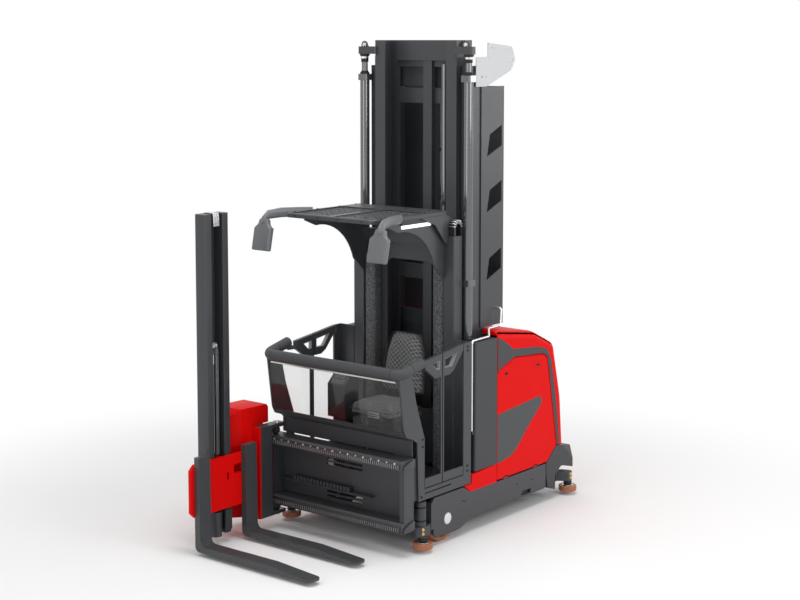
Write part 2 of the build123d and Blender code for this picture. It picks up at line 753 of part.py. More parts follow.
with BuildPart() as post_pads:
    with BuildSketch(Plane.XY.offset(cab_floor + 2)):
        with Locations(((pad_x[0] + pad_x[1]) / 2, (post_y[0] + wall_y - 14) / 2)):
            RectangleRounded(pad_x[1] - pad_x[0], wall_y - 14 - post_y[0], 24)
    extrude(amount=1640)
    mirror(about=Plane.YZ)
post_pads.part.label = "post_pads"
export_step(post_pads.part, "parts/post_pads.step")

# Cab floor: a deep rim round the floor plate
with BuildPart() as cab_floor_frame:
    with BuildSketch(Plane.XY.offset(cab_bottom)):
        with Locations((0, (cab_front_y + cab_rear_y - side_t) / 2)):
            Rectangle(2 * (half_width - side_t), cab_rear_y - side_t - cab_front_y)
            Rectangle(2 * (half_width - side_t) - 50, cab_rear_y - side_t - cab_front_y - 50, mode=Mode.SUBTRACT)
    extrude(amount=cab_floor - cab_bottom - 12)
    with BuildSketch(Plane.XY.offset(cab_floor - 12)):
        with Locations((0, (cab_front_y + cab_rear_y - side_t) / 2)):
            Rectangle(2 * (half_width - side_t), cab_rear_y - side_t - cab_front_y)
    extrude(amount=12)
cab_floor_frame.part.label = "cab_floor_frame"
export_step(cab_floor_frame.part, "parts/cab_floor_frame.step")

# Flank plates of the cab: one bent outline from the rear post to the raked front post
with BuildPart() as cab_side_plates:
    with BuildSketch(Plane.YZ.offset(half_width - side_t)) as side_plate:
        with BuildLine():
            Polyline((cab_front_y, cab_bottom), (cab_rear_y, cab_bottom), (cab_rear_y, 1500),
                     (gate_y[1] + 6, 1500), (gate_y[1] + 6, gate_rail[0] - 8), (gate_y[0] - 6, gate_rail[0] - 8),
                     (gate_y[0] - 6, 860), (-75, 1130), (-135, 1378), (-275, 1348), (-222, 960),
                     (-195, 905), (-120, 878), (cab_front_y - 15, 840), close=True)
        make_face()
        fillet(side_plate.vertices().sort_by_distance((-195, 905))[0], 40)
        fillet(side_plate.vertices().sort_by_distance((-75, 1130))[0], 120)
        fillet(side_plate.vertices().sort_by_distance((gate_y[0] - 6, 860))[0], 60)
        with Locations((-15, 420), (0, 800), (0, 855), (560, 500), (560, 540), (560, 1440), (560, 1470)):
            Circle(7, mode=Mode.SUBTRACT)
        with Locations((190, 440)):
            SlotOverall(330, 10, mode=Mode.SUBTRACT)
    extrude(amount=side_t)
    for y, z in gate_lugs:
        with BuildSketch(Plane.XY.offset(z)):
            with BuildLine():
                Polyline((gate_axis_x, y - 8), (half_width - side_t + 4, y - 8), (half_width - side_t + 4, y + 8),
                         (gate_axis_x, y + 8), close=True)
            make_face()
            with Locations((gate_axis_x, y)):
                Circle(8)
        extrude(amount=30)
        with BuildSketch(Plane.XY.offset(z + 30)):
            with Locations((gate_axis_x, y)):
                Circle(4)
        extrude(amount=gate_barrel)
    mirror(about=Plane.YZ)
cab_side_plates.part.label = "cab_side_plates"
export_step(cab_side_plates.part, "parts/cab_side_plates.step")

# Side gates: two leaves a side that meet in the middle and swing inwards
gate_mid = 241
front_grip = [(gate_y[0], 1378), (gate_y[0], 1440), (gate_mid - 5, 1466), (gate_mid - 5, 1292), (150, 1292)]
front_hole = [(118, 1404), (212, 1416), (212, 1352), (172, 1352)]
rear_grip = [(gate_mid + 5, 1467), (gate_y[1], 1500), (gate_y[1], 1452), (385, 1322), (330, 1292), (gate_mid + 5, 1292)]
rear_hole = [(270, 1424), (430, 1445), (358, 1352), (270, 1352)]
leaf_table = {
    "gate_front": (front_grip, front_hole, gate_y[0], gate_mid - 5, gate_axis_y[0], 1),
    "gate_rear": (rear_grip, rear_hole, gate_mid + 5, gate_y[1], gate_axis_y[1], -1),
}
for leaf, (grip, hole, low_y, high_y, axis_y, turn) in leaf_table.items():
    for side_name, side in (("left", 1), ("right", -1)):
        with BuildPart() as gate:
            with BuildSketch(Plane.YZ.offset(side * (half_width - 30))):
                with BuildLine():
                    Polyline(*grip, close=True)
                make_face()
                with BuildLine():
                    Polyline(*hole, close=True)
                make_face(mode=Mode.SUBTRACT)
            extrude(amount=side * 30)
            stile_y = high_y - 7 if turn > 0 else low_y + 7
            with BuildSketch(Plane.YZ.offset(side * (half_width - 14))):
                with Locations(((low_y + high_y) / 2, (gate_rail[0] + gate_rail[1]) / 2)):
                    Rectangle(high_y - low_y, gate_rail[1] - gate_rail[0])
                with Locations((stile_y, (gate_rail[1] + 1300) / 2)):
                    Rectangle(14, 1300 - gate_rail[1])
            extrude(amount=side * 14)
            hinge_y = low_y if turn > 0 else high_y
            for y, z in (*gate_lugs, gate_rail_lug):
                if y == axis_y:
                    with BuildSketch(Plane.XY.offset(z + 30 + run_gap)):
                        with BuildLine():
                            Polyline((side * gate_axis_x, axis_y - turn * 6), (side * (half_width - 10), hinge_y),
                                     (side * (half_width - 10), hinge_y + turn * 12),
                                     (side * gate_axis_x, axis_y + turn * 8), close=True)
                        make_face()
                        with Locations((side * gate_axis_x, axis_y)):
                            Circle(8)
                            Circle(4 + run_gap, mode=Mode.SUBTRACT)
                    extrude(amount=gate_barrel)
        name = f"{leaf}_{side_name}"
        gate.part.label = name
        export_step(gate.part, f"parts/{name}.step")

# Cab front: the leaning lower panel and the clear window above it
with BuildPart() as cab_front_panel:
    with BuildSketch(Plane.YZ.offset(-half_width + side_t)):
        with BuildLine():
            Polyline((-228, 944), (-205, 906), (-132, 880), (-112, 860), (-112, 745), (-100, 745),
                     (-100, 868), (-124, 892), (-196, 918), (-212, 944), close=True)
        make_face()
    extrude(amount=2 * (half_width - side_t))
cab_front_panel.part.label = "cab_front_panel"
export_step(cab_front_panel.part, "parts/cab_front_panel.step")

with BuildPart() as cab_window:
    with BuildSketch(Plane.YZ.offset(-half_width + side_t)):
        with BuildLine():
            Polyline((-226, 944), (-268, 1340), (-262, 1340), (-220, 944), close=True)
        make_face()
    extrude(amount=2 * (half_width - side_t))
cab_window.part.label = "cab_window"
export_step(cab_window.part, "parts/cab_window.step")

# Padded hand rail round the front of the cab
with BuildPart() as cab_hand_rail:
    with BuildLine() as rail_line:
        FilletPolyline((-half_width - 4, -26, rail_end_z), (-half_width - 4, rail_y, rail_z),
                       (half_width + 4, rail_y, rail_z), (half_width + 4, -26, rail_end_z), radius=60)
    with BuildSketch(Plane(origin=rail_line.line @ 0, z_dir=rail_line.line % 0)):
        Circle(rail_r)
    sweep()
    for start in (-half_width, half_width - side_t):
        with BuildSketch(Plane.YZ.offset(start)):
            with BuildLine():
                Polyline((-280, 1300), (-280, 1347), (-135, 1378), (-126, 1378), (-106, 1300), close=True)
            make_face()
        extrude(amount=side_t, mode=Mode.SUBTRACT)
    for side in (-1, 1):
        with BuildSketch(Plane.XY.offset(gate_rail_lug[1])):
            with Locations((side * gate_axis_x, gate_rail_lug[0])):
                Circle(8)
            with BuildLine():
                Polyline((side * (gate_axis_x - 8), gate_rail_lug[0]), (side * (gate_axis_x + 2), -50),
                         (side * (gate_axis_x + 22), -50), (side * (gate_axis_x + 8), gate_rail_lug[0]),
                         close=True)
            make_face()
        extrude(amount=30)
        with BuildSketch(Plane.XY.offset(gate_rail_lug[1] + 30)):
            with Locations((side * gate_axis_x, gate_rail_lug[0])):
                Circle(4)
        extrude(amount=gate_barrel)
cab_hand_rail.part.label = "cab_hand_rail"
export_step(cab_hand_rail.part, "parts/cab_hand_rail.step")

# Roof: a frame round two grilles, closed towards the mast
with BuildPart() as roof_frame:
    with BuildSketch(Plane.XY.offset(roof_z - roof_t)) as roof_plan:
        with Locations((0, (roof_front_y + roof_rear_y) / 2)):
            Rectangle(2 * roof_half, roof_rear_y - roof_front_y)
        fillet(roof_plan.vertices().group_by(Axis.Y)[0], 60)
        with Locations((grille_x, grille_mid_y), (-grille_x, grille_mid_y)):
            Rectangle(grille_w, grille_d, mode=Mode.SUBTRACT)
    extrude(amount=roof_t)
    top_rim = roof_frame.edges().filter_by(lambda e: abs(e.center().Z - roof_z) < 1)
    chamfer(top_rim.filter_by(lambda e: e.center().Y < roof_front_y + 40), 8)
roof_frame.part.label = "roof_frame"
export_step(roof_frame.part, "parts/roof_frame.step")

with BuildPart() as roof_grille:
    with BuildSketch(Plane.XY.offset(roof_z - roof_t + 6)):
        with Locations((grille_x, grille_mid_y), (-grille_x, grille_mid_y)):
            Rectangle(grille_w, grille_d)
        for side in (-1, 1):
            with Locations((side * grille_x, grille_mid_y)):
                with GridLocations(grille_pitch, grille_pitch, grille_columns, grille_rows):
                    Rectangle(grille_pitch - grille_bar, grille_pitch - grille_bar, mode=Mode.SUBTRACT)
    extrude(amount=20)
roof_grille.part.label = "roof_grille"
export_step(roof_grille.part, "parts/roof_grille.step")

# Mirrors on curved arms at the roof's front corners
with BuildPart() as mirrors:
    with BuildLine() as arm_line:
        Spline((roof_half, roof_front_y + 80, roof_z - roof_t / 2), (530, -330, 2470), (565, -388, 2395),
               tangents=((1, 0, 0), (0.1, -0.2, -1)))
    with BuildSketch(Plane(origin=arm_line.line @ 0, z_dir=arm_line.line % 0)):
        Circle(13)
    sweep()
    with BuildSketch(Plane.XZ.offset(mirror_y)) as mirror_back:
        with BuildLine():
            Polyline((505, 2150), (590, 2150), (640, 2230), (640, 2400), (610, 2425), (530, 2410),
                     (500, 2200), close=True)
        make_face()
        fillet(mirror_back.vertices(), 14)
    extrude(amount=40, taper=8)
    mirror(about=Plane.YZ)
mirrors.part.label = "mirrors"
export_step(mirrors.part, "parts/mirrors.step")

# Seat: pedestal, cushion and back
with BuildPart() as seat_base:
    with BuildSketch(Plane.XY.offset(cab_floor)):
        with Locations((seat_x, 330)):
            RectangleRounded(300, 260, 30)
    extrude(amount=900 - cab_floor, taper=3)
    with BuildSketch(Plane.XY.offset(895)):
        with Locations((seat_x, 320)):
            RectangleRounded(400, 360, 30)
    extrude(amount=30)
    with BuildSketch(Plane.YZ.offset(seat_x - 40)):
        with BuildLine():
            Polyline((480, 900), (578, 900), (578, 1280), (541.6, 1280), (520, 1040), (480, 925),
                     close=True)
        make_face()
    extrude(amount=80)
seat_base.part.label = "seat_base"
export_step(seat_base.part, "parts/seat_base.step")

with BuildPart() as seat_cushion:
    with BuildSketch(Plane.XY.offset(925)) as cushion_plan:
        with Locations((seat_x, 270)):
            RectangleRounded(460, 400, 70)
    extrude(amount=105)
    fillet(seat_cushion.edges().group_by(Axis.Z)[-1], 30)
seat_cushion.part.label = "seat_cushion"
export_step(seat_cushion.part, "parts/seat_cushion.step")

with BuildPart() as seat_back:
    with BuildSketch(Plane(origin=(seat_x, 430, 1045), x_dir=(1, 0, 0), z_dir=(0, -1, 0.13))) as back_plan:
        with BuildLine():
            Polyline((-215, 0), (215, 0), (190, 330), (140, 495), (-140, 495), (-190, 330), close=True)
        make_face()
        fillet(back_plan.vertices(), 45)
    extrude(amount=-80)
    fillet(seat_back.edges().group_by(Axis.Y)[0], 20)
seat_back.part.label = "seat_back"
export_step(seat_back.part, "parts/seat_back.step")

# Console beside the seat
with BuildPart() as console:
    with BuildSketch(Plane.XY.offset(cab_floor)):
        with Locations((-265, 175)):
            RectangleRounded(130, 110, 15)
    extrude(amount=870 - cab_floor)
    with BuildSketch(Plane.YZ.offset(-352)):
        with BuildLine():
            Polyline((90, 870), (270, 870), (270, 1215), (180, 1215), (90, 1130), close=True)
        make_face()
    extrude(amount=174)
    chamfer(console.edges().filter_by(Axis.X).sort_by(Axis.Z)[-1], 12)
console.part.label = "console"
export_step(console.part, "parts/console.step")

# Ribbed guide that leads the hoses over the near post
with BuildPart() as cable_carrier:
    for turn in range(9):
        angle = math.radians(180 - turn * 22.5)
        link_y = 648 + 42 * math.cos(angle)
        link_z = post_top + 66 + 42 * math.sin(angle)
        with BuildSketch(Plane.YZ.offset(post_x[0] + 50)):
            with Locations(Location((link_y, link_z, 0), (0, 0, math.degrees(angle)))):
                Rectangle(24, 20)
        extrude(amount=50)
    with BuildSketch(Plane.XY.offset(post_top)):
        with Locations((post_x[0] + 75, 606), (post_x[0] + 75, 690)):
            Rectangle(50, 20)
    extrude(amount=66)
cable_carrier.part.label = "cable_carrier"
export_step(cable_carrier.part, "parts/cable_carrier.step")

# Traverse frame under the cab front: end posts, slotted back plate and the links to the floor
with BuildPart() as traverse_frame:
    with BuildSketch(Plane.XZ.offset(-frame_y)):
        with Locations((0, 460)):
            Rectangle(2 * rack_half - 60, 430)
        with Locations((-rack_half + 130, 530)):
            Rectangle(90, 200, mode=Mode.SUBTRACT)
        with Locations((rack_half - 75, 480)):
            Rectangle(85, 230, mode=Mode.SUBTRACT)
        for z in (600, 565, 345, 310):
            with Locations((-40, z)):
                SlotOverall(440, 20, mode=Mode.SUBTRACT)
        with Locations((-410, 295), (300, 295)):
            Circle(25, mode=Mode.SUBTRACT)
        with Locations((110, 400)):
            SlotOverall(110, 30, mode=Mode.SUBTRACT)
    extrude(amount=-16)
    with BuildSketch(Plane.XY.offset(rack_low[1] + rack_lip)):
        with Locations((rack_half - 22, (frame_y + rack_front_y + 24) / 2)):
            Rectangle(44, frame_y - rack_front_y - 24)
    extrude(amount=rack_high[0] - rack_low[1] - rack_lip)
    with BuildSketch(Plane.YZ.offset(half_width - side_t - 30)):
        with BuildLine():
            Polyline((frame_y + 10, 400), (frame_y + 10, 720), (cab_front_y, 720), (cab_front_y, 400),
                     close=True)
        make_face()
    extrude(amount=30)
    mirror(about=Plane.YZ)
traverse_frame.part.label = "traverse_frame"
export_step(traverse_frame.part, "parts/traverse_frame.step")

# The two toothed racks that the head runs along
with BuildPart() as racks:
    for low, high in (rack_low, rack_high):
        with BuildSketch(Plane.YZ.offset(-rack_half)):
            with BuildLine():
                Polyline((rack_front_y, low), (rack_front_y, high), (rack_front_y + 12, high + rack_lip),
                         (frame_y, high + rack_lip), (frame_y, low), close=True)
            make_face()
        extrude(amount=2 * rack_half)
        with BuildSketch(Plane.XZ.offset(-rack_front_y)):
            with Locations((0, low + 24)):
                with GridLocations(tooth, 1, int((2 * rack_half - 40) / tooth), 1):
                    Rectangle(tooth / 2, 30)
        extrude(amount=-8, mode=Mode.SUBTRACT)
racks.part.label = "racks"
export_step(racks.part, "parts/racks.step")

# Energy chain and the tray that carries it
with BuildPart() as energy_chain:
    with BuildSketch(Plane.XY.offset(385)):
        with Locations((-150, frame_y - 30)):
            Rectangle(900, 60)
    extrude(amount=8)
    with BuildSketch(Plane.XZ.offset(-frame_y)):
        with Locations((-200, 410)):
            with GridLocations(34, 1, 17, 1):
                Rectangle(24, 34)
    extrude(amount=48)
    with BuildSketch(Plane.XZ.offset(-frame_y)):
        with Locations((-200, 402)):
            Rectangle(17 * 34, 14)
    extrude(amount=40)
energy_chain.part.label = "energy_chain"
export_step(energy_chain.part, "parts/energy_chain.step")

# Thrust carriage: the bracket that reaches over and under the racks
with BuildPart() as thrust_carriage:
    with BuildSketch(Plane.YZ.offset(head_x[1])):
        with BuildLine():
            Polyline((-410, 108), (-410, 828), (frame_y - 16, 828), (frame_y - 16, 798), (-284, 798),
                     (-284, 136), (frame_y - 16, 136), (frame_y - 16, 108), close=True)
        make_face()
    extrude(amount=82)
    for z in (rack_high[1] + rack_lip + thrust_roller_r + run_gap, rack_low[0] - thrust_roller_r - run_gap):
        with BuildSketch(Plane.XZ.offset(-(frame_y - 60))):
            with Locations((head_x[1] + 41, z)):
                Circle(thrust_roller_r)
        extrude(amount=40)
thrust_carriage.part.label = "thrust_carriage"
export_step(thrust_carriage.part, "parts/thrust_carriage.step")

# Head housing and the arms that carry the swivel pin
with BuildPart() as head_housing:
    with BuildSketch(Plane.YZ.offset(head_x[0])) as housing:
        with BuildLine():
            Polyline((head_y[1], head_z[0]), (head_y[1], head_z[1] - 30), (head_y[1] - 30, head_z[1]),
                     (head_y[0] + 90, head_z[1]), (head_y[0], head_z[1] - 130), (head_y[0], head_z[0]),
                     close=True)
        make_face()
        fillet(housing.vertices().sort_by_distance((head_y[0], head_z[0]))[0], 30)
    extrude(amount=head_x[1] - head_x[0])
    chamfer(head_housing.edges().filter_by(Axis.Y).group_by(Axis.Z)[-1], 16)
    for low, high in lug_levels:
        with BuildSketch(Plane.XY.offset(low)):
            with Locations(swivel):
                Circle(lug_r)
            with BuildLine():
                Polyline((swivel[0] - lug_r, swivel[1]), (swivel[0] - lug_r, head_y[0] + 10),
                         (swivel[0] + lug_r, head_y[0] + 10), (swivel[0] + lug_r, swivel[1]), close=True)
            make_face()
        extrude(amount=high - low)
    with BuildSketch(Plane.XY.offset(lug_levels[0][0] - 10)):
        with Locations(swivel):
            Circle(swivel_pin_r)
    extrude(amount=lug_levels[-1][1] - lug_levels[0][0] + 20)
head_housing.part.label = "head_housing"
export_step(head_housing.part, "parts/head_housing.step")

# Auxiliary mast: one open channel with the knuckles that turn on the swivel pin
with BuildPart() as aux_mast:
    with BuildSketch(Plane.XY.offset(aux_z[0])) as aux_profile:
        with Locations(((aux_x[0] + aux_x[1]) / 2, (aux_y[0] + aux_y[1]) / 2)):
            RectangleRounded(aux_x[1] - aux_x[0], aux_y[1] - aux_y[0], 16)
        with BuildLine():
            Polyline((aux_x[0] + 15, channel_y[0]), (aux_x[1] + 1, channel_y[0]),
                     (aux_x[1] + 1, channel_y[1]), (aux_x[0] + 15, channel_y[1]), close=True)
        make_face(mode=Mode.SUBTRACT)
    extrude(amount=aux_z[1] - aux_z[0])
    for low, high in knuckle_levels:
        with BuildSketch(Plane.XY.offset(low)):
            with Locations(swivel):
                Circle(lug_r)
            with BuildLine():
                Polyline((swivel[0], swivel[1] - lug_r), (aux_x[0] + 10, swivel[1] - lug_r),
                         (aux_x[0] + 10, swivel[1] + lug_r), (swivel[0], swivel[1] + lug_r), close=True)
            make_face()
            with Locations(swivel):
                Circle(swivel_pin_r + run_gap, mode=Mode.SUBTRACT)
        extrude(amount=high - low)
    with BuildSketch(Plane.XY.offset(aux_z[1])):
        with Locations((aux_x[0] + 20, swivel[1])):
            Rectangle(24, 60)
    extrude(amount=84)
aux_mast.part.label = "aux_mast"
export_step(aux_mast.part, "parts/aux_mast.step")

# Auxiliary lift: barrel in the channel, then rod, sheave and chain
with BuildPart() as aux_cylinder:
    with BuildSketch(Plane.XY.offset(aux_z[0])):
        with Locations((aux_ram_x, swivel[1])):
            Circle(19)
    extrude(amount=aux_barrel_top - aux_z[0])
    with BuildSketch(Plane.XY.offset(aux_z[0])):
        with Locations(((aux_x[0] + 15 + aux_ram_x) / 2, swivel[1])):
            Rectangle(aux_ram_x - aux_x[0] - 15, 60)
    extrude(amount=30)
    with BuildSketch(Plane.XY.offset(aux_rod_foot - move_gap)):
        with Locations((aux_ram_x, swivel[1])):
            Circle(aux_rod_r + run_gap)
    extrude(amount=aux_barrel_top - aux_rod_foot + move_gap, mode=Mode.SUBTRACT)
aux_cylinder.part.label = "aux_cylinder"
export_step(aux_cylinder.part, "parts/aux_cylinder.step")

with BuildPart() as aux_ram:
    with BuildSketch(Plane.XY.offset(aux_rod_foot)):
        with Locations((aux_ram_x, swivel[1])):
            Circle(aux_rod_r)
    extrude(amount=aux_sheave_z - aux_rod_foot)
    with BuildSketch(Plane.XZ.offset(-(swivel[1] + 12))):
        with Locations((aux_ram_x, aux_sheave_z)):
            Circle(aux_sheave_r - 4.3)
    extrude(amount=24)
    for y in (swivel[1] + 17, swivel[1] - 17):
        with BuildSketch(Plane.XZ.offset(-(y + 3))):
            with Locations((aux_ram_x, aux_sheave_z - 5)):
                Rectangle(36, 60)
        extrude(amount=6)
    with BuildSketch(Plane.XY.offset(aux_sheave_z - 60)):
        with Locations((aux_ram_x, swivel[1])):
            Rectangle(34, 40)
    extrude(amount=30)
aux_ram.part.label = "aux_ram"
export_step(aux_ram.part, "parts/aux_ram.step")

with BuildPart() as aux_chain:
    with BuildSketch(Plane.XZ.offset(-(swivel[1] + 9))):
        with Locations((aux_ram_x, aux_sheave_z)):
            Circle(aux_sheave_r + 4)
            Circle(aux_sheave_r - 4, mode=Mode.SUBTRACT)
        with Locations((aux_ram_x, aux_sheave_z - 50)):
            Rectangle(100, 100, mode=Mode.SUBTRACT)
        with Locations((aux_ram_x - aux_sheave_r, (aux_sheave_z + aux_chain_foot[0]) / 2)):
            Rectangle(8, aux_sheave_z - aux_chain_foot[0])
        with Locations((aux_ram_x + aux_sheave_r, (aux_sheave_z + aux_chain_foot[1]) / 2)):
            Rectangle(8, aux_sheave_z - aux_chain_foot[1])
    extrude(amount=18)
aux_chain.part.label = "aux_chain"
export_step(aux_chain.part, "parts/aux_chain.step")

# Fork carriage: the red plate with its guide shoes
with BuildPart() as fork_carriage:
    with BuildSketch(Plane.YZ.offset(carriage_x[0])):
        with BuildLine():
            Polyline((carriage_y[0], carriage_z[0] + 40), (carriage_y[0], carriage_z[1] - 40),
                     (carriage_y[0] + 40, carriage_z[1]), (carriage_y[1] - 40, carriage_z[1]),
                     (carriage_y[1], carriage_z[1] - 40), (carriage_y[1], carriage_z[0] + 40),
                     (carriage_y[1] - 40, carriage_z[0]), (carriage_y[0] + 40, carriage_z[0]), close=True)
        make_face()
        with Locations((-765, 525)):
            SlotOverall(60, 20, rotation=90, mode=Mode.SUBTRACT)
        with Locations((-650, 565)):
            RectangleRounded(100, 70, 12, mode=Mode.SUBTRACT)
    extrude(amount=carriage_x[1] - carriage_x[0])
    for shoe_y in (channel_y[0] + 13 + run_gap, channel_y[1] - 13 - run_gap):
        for z in (carriage_z[0] + 60, carriage_z[1] - 60):
            with BuildSketch(Plane.YZ.offset(aux_x[0] + 15 + move_gap)):
                with Locations((shoe_y, z)):
                    RectangleRounded(26, 90, 8)
            extrude(amount=carriage_x[0] - aux_x[0] - 15 - move_gap)
fork_carriage.part.label = "fork_carriage"
export_step(fork_carriage.part, "parts/fork_carriage.step")

# Forks: bent bars that hang on the carriage, with tapered and rounded tips
for name, y in (("fork_front", fork_y[0]), ("fork_rear", fork_y[1])):
    with BuildPart() as fork:
        shank_x = carriage_x[1]
        with BuildSketch(Plane.XZ.offset(-(y + fork_w / 2))) as fork_side:
            with BuildLine():
                Polyline((shank_x, fork_bottom), (shank_x, fork_top), (shank_x + fork_t, fork_top),
                         (shank_x + fork_t + 8, fork_bottom + fork_t), (fork_tip - 420, fork_bottom + fork_t),
                         (fork_tip, fork_bottom + 14), (fork_tip, fork_bottom), close=True)
            make_face()
            fillet(fork_side.vertices().sort_by_distance((shank_x + fork_t + 8, fork_bottom + fork_t))[0], 45)
            fillet(fork_side.vertices().sort_by_distance((shank_x, fork_bottom))[0], 40)
        extrude(amount=fork_w)
        tip_corners = fork.edges().filter_by(Axis.Z).group_by(Axis.X)[-1]
        fillet(tip_corners, 40)
    fork.part.label = name
    export_step(fork.part, f"parts/{name}.step")
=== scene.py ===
import math

import bmesh
import bpy
from mathutils import Matrix, Vector


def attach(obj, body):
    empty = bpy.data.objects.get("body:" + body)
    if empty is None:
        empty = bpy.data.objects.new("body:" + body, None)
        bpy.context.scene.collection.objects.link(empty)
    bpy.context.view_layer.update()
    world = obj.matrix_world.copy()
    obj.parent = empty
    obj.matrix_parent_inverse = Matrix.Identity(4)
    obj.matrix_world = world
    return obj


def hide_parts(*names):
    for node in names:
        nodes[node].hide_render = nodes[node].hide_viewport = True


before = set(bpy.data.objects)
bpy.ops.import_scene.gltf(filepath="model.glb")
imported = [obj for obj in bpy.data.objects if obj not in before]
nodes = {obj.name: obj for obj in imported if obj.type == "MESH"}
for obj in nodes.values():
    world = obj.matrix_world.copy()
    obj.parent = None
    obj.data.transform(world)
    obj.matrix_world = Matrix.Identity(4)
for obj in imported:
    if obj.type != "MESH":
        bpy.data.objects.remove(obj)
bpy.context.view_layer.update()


# The camera stands in front of the truck's left corner, a little above the roof of the cab.
# Its long lens and small downward shift are those of the photograph.
def new_object(name, data):
    thing = bpy.data.objects.new(name, data)
    bpy.context.scene.collection.objects.link(thing)
    return thing


camera_place = (7.762, -9.168, 3.80)
camera_turn = math.radians(38.6)
camera_dip = math.radians(6.0)
camera_data = bpy.data.cameras.new("camera")
camera_data.sensor_width = 36
camera_data.lens = 71.9
camera_data.shift_y = -0.115
camera_data.clip_end = 200
camera = new_object("camera", camera_data)
camera.location = camera_place
looks_along = Vector((
    -math.sin(camera_turn) * math.cos(camera_dip),
    math.cos(camera_turn) * math.cos(camera_dip),
    -math.sin(camera_dip),
))
camera.rotation_euler = looks_along.to_track_quat("-Z", "Y").to_euler()
bpy.context.scene.camera = camera
bpy.context.scene.view_settings.view_transform = "Standard"


# The studio is one even white room: a wide soft lamp overhead, a second one beside the left flank,
# and weak ones in front and behind the flank, all too broad to leave hard shadows.
def soft_lamp(name, place, aim, width, watts):
    lamp_data = bpy.data.lights.new(name, "AREA")
    lamp_data.shape = "SQUARE"
    lamp_data.size = width
    lamp_data.energy = watts
    lamp = new_object(name, lamp_data)
    lamp.location = place
    lamp.rotation_euler = (Vector(aim) - Vector(place)).to_track_quat("-Z", "Y").to_euler()


truck_middle = (0, 0.6, 1.3)
soft_lamp("overhead_lamp", (0.5, -0.5, 8.5), truck_middle, 6.0, 380)
soft_lamp("flank_lamp", (8.5, 0.5, 4.5), truck_middle, 4.0, 210)
soft_lamp("back_lamp", (5.5, 7.3, 3.4), (0.5, 1.1, 3.2), 1.8, 70)
soft_lamp("front_lamp", (0.5, -9.5, 3.5), truck_middle, 4.0, 115)


def add_node(tree, kind, place, **settings):
    node = tree.nodes.new(kind)
    node.location = (place[0] * 200, place[1] * -200)
    for key, value in settings.items():
        setattr(node, key, value)
    return node


def set_sockets(node, values):
    for socket, value in values.items():
        node.inputs[socket].default_value = value


def seen_ray(tree):
    path = add_node(tree, "ShaderNodeLightPath", (-4, 0))
    both = add_node(tree, "ShaderNodeMath", (-3, 0), operation="MAXIMUM")
    seen = add_node(tree, "ShaderNodeMath", (-2, 0), operation="MAXIMUM")
    tree.links.new(path.outputs["Is Camera Ray"], both.inputs[0])
    tree.links.new(path.outputs["Is Glossy Ray"], both.inputs[1])
    tree.links.new(both.outputs[0], seen.inputs[0])
    tree.links.new(path.outputs["Is Transmission Ray"], seen.inputs[1])
    return seen.outputs[0]


room = bpy.data.worlds.new("white_room")
room.use_nodes = True
bpy.context.scene.world = room
room_tree = room.node_tree
room_tree.nodes.clear()
pure_white = (1, 1, 1, 1)
room_fill = add_node(room_tree, "ShaderNodeBackground", (-1, 1))
set_sockets(room_fill, {"Color": pure_white, "Strength": 0.5})
room_seen = add_node(room_tree, "ShaderNodeBackground", (-1, 2))
set_sockets(room_seen, {"Color": pure_white, "Strength": 1.0})
room_mix = add_node(room_tree, "ShaderNodeMixShader", (0, 0))
room_out = add_node(room_tree, "ShaderNodeOutputWorld", (1, 0))
room_tree.links.new(seen_ray(room_tree), room_mix.inputs["Fac"])
room_tree.links.new(room_fill.outputs[0], room_mix.inputs[1])
room_tree.links.new(room_seen.outputs[0], room_mix.inputs[2])
room_tree.links.new(room_mix.outputs[0], room_out.inputs["Surface"])

# The floor is matt white and keeps the truck's soft shadow. Away from the truck it fades into the
# white of the room, so that no horizon shows.
floor_reach = 60.0
floor_fade_start = 2.2
floor_fade_end = 5.0
floor_gap = 0.001
floor_mesh = bpy.data.meshes.new("floor")
floor_shape = bmesh.new()
bmesh.ops.create_circle(
    floor_shape, cap_ends=True, segments=64, radius=floor_reach,
    matrix=Matrix.Translation((0, 0.5, -floor_gap)))
floor_shape.to_mesh(floor_mesh)
floor_shape.free()
floor = new_object("floor", floor_mesh)
floor_paint = bpy.data.materials.new("floor_white")
floor_paint.use_nodes = True
floor_tree = floor_paint.node_tree
floor_tree.nodes.clear()
floor_spot = add_node(floor_tree, "ShaderNodeTexCoord", (-6, 2))
floor_middle = add_node(floor_tree, "ShaderNodeVectorMath", (-5, 2), operation="DISTANCE")
floor_middle.inputs[1].default_value = (0, 0.3, 0)
floor_range = add_node(floor_tree, "ShaderNodeMapRange", (-4, 2), interpolation_type="SMOOTHSTEP")
set_sockets(floor_range, {"From Min": floor_fade_start, "From Max": floor_fade_end})
floor_seen = add_node(floor_tree, "ShaderNodeMath", (-1, 1), operation="MULTIPLY")
floor_matt = add_node(floor_tree, "ShaderNodeBsdfDiffuse", (-1, 2))
floor_matt.inputs["Color"].default_value = (0.9, 0.9, 0.9, 1)
floor_glow = add_node(floor_tree, "ShaderNodeEmission", (-1, 3))
set_sockets(floor_glow, {"Color": pure_white, "Strength": 1.0})
floor_mix = add_node(floor_tree, "ShaderNodeMixShader", (0, 0))
floor_out = add_node(floor_tree, "ShaderNodeOutputMaterial", (1, 0))
for start, end in (
        (floor_spot.outputs["Object"], floor_middle.inputs[0]),
        (floor_middle.outputs["Value"], floor_range.inputs["Value"]),
        (floor_range.outputs["Result"], floor_seen.inputs[0]),
        (seen_ray(floor_tree), floor_seen.inputs[1]),
        (floor_seen.outputs[0], floor_mix.inputs["Fac"]),
        (floor_matt.outputs[0], floor_mix.inputs[1]),
        (floor_glow.outputs[0], floor_mix.inputs[2]),
        (floor_mix.outputs[0], floor_out.inputs["Surface"])):
    floor_tree.links.new(start, end)
floor_mesh.materials.append(floor_paint)


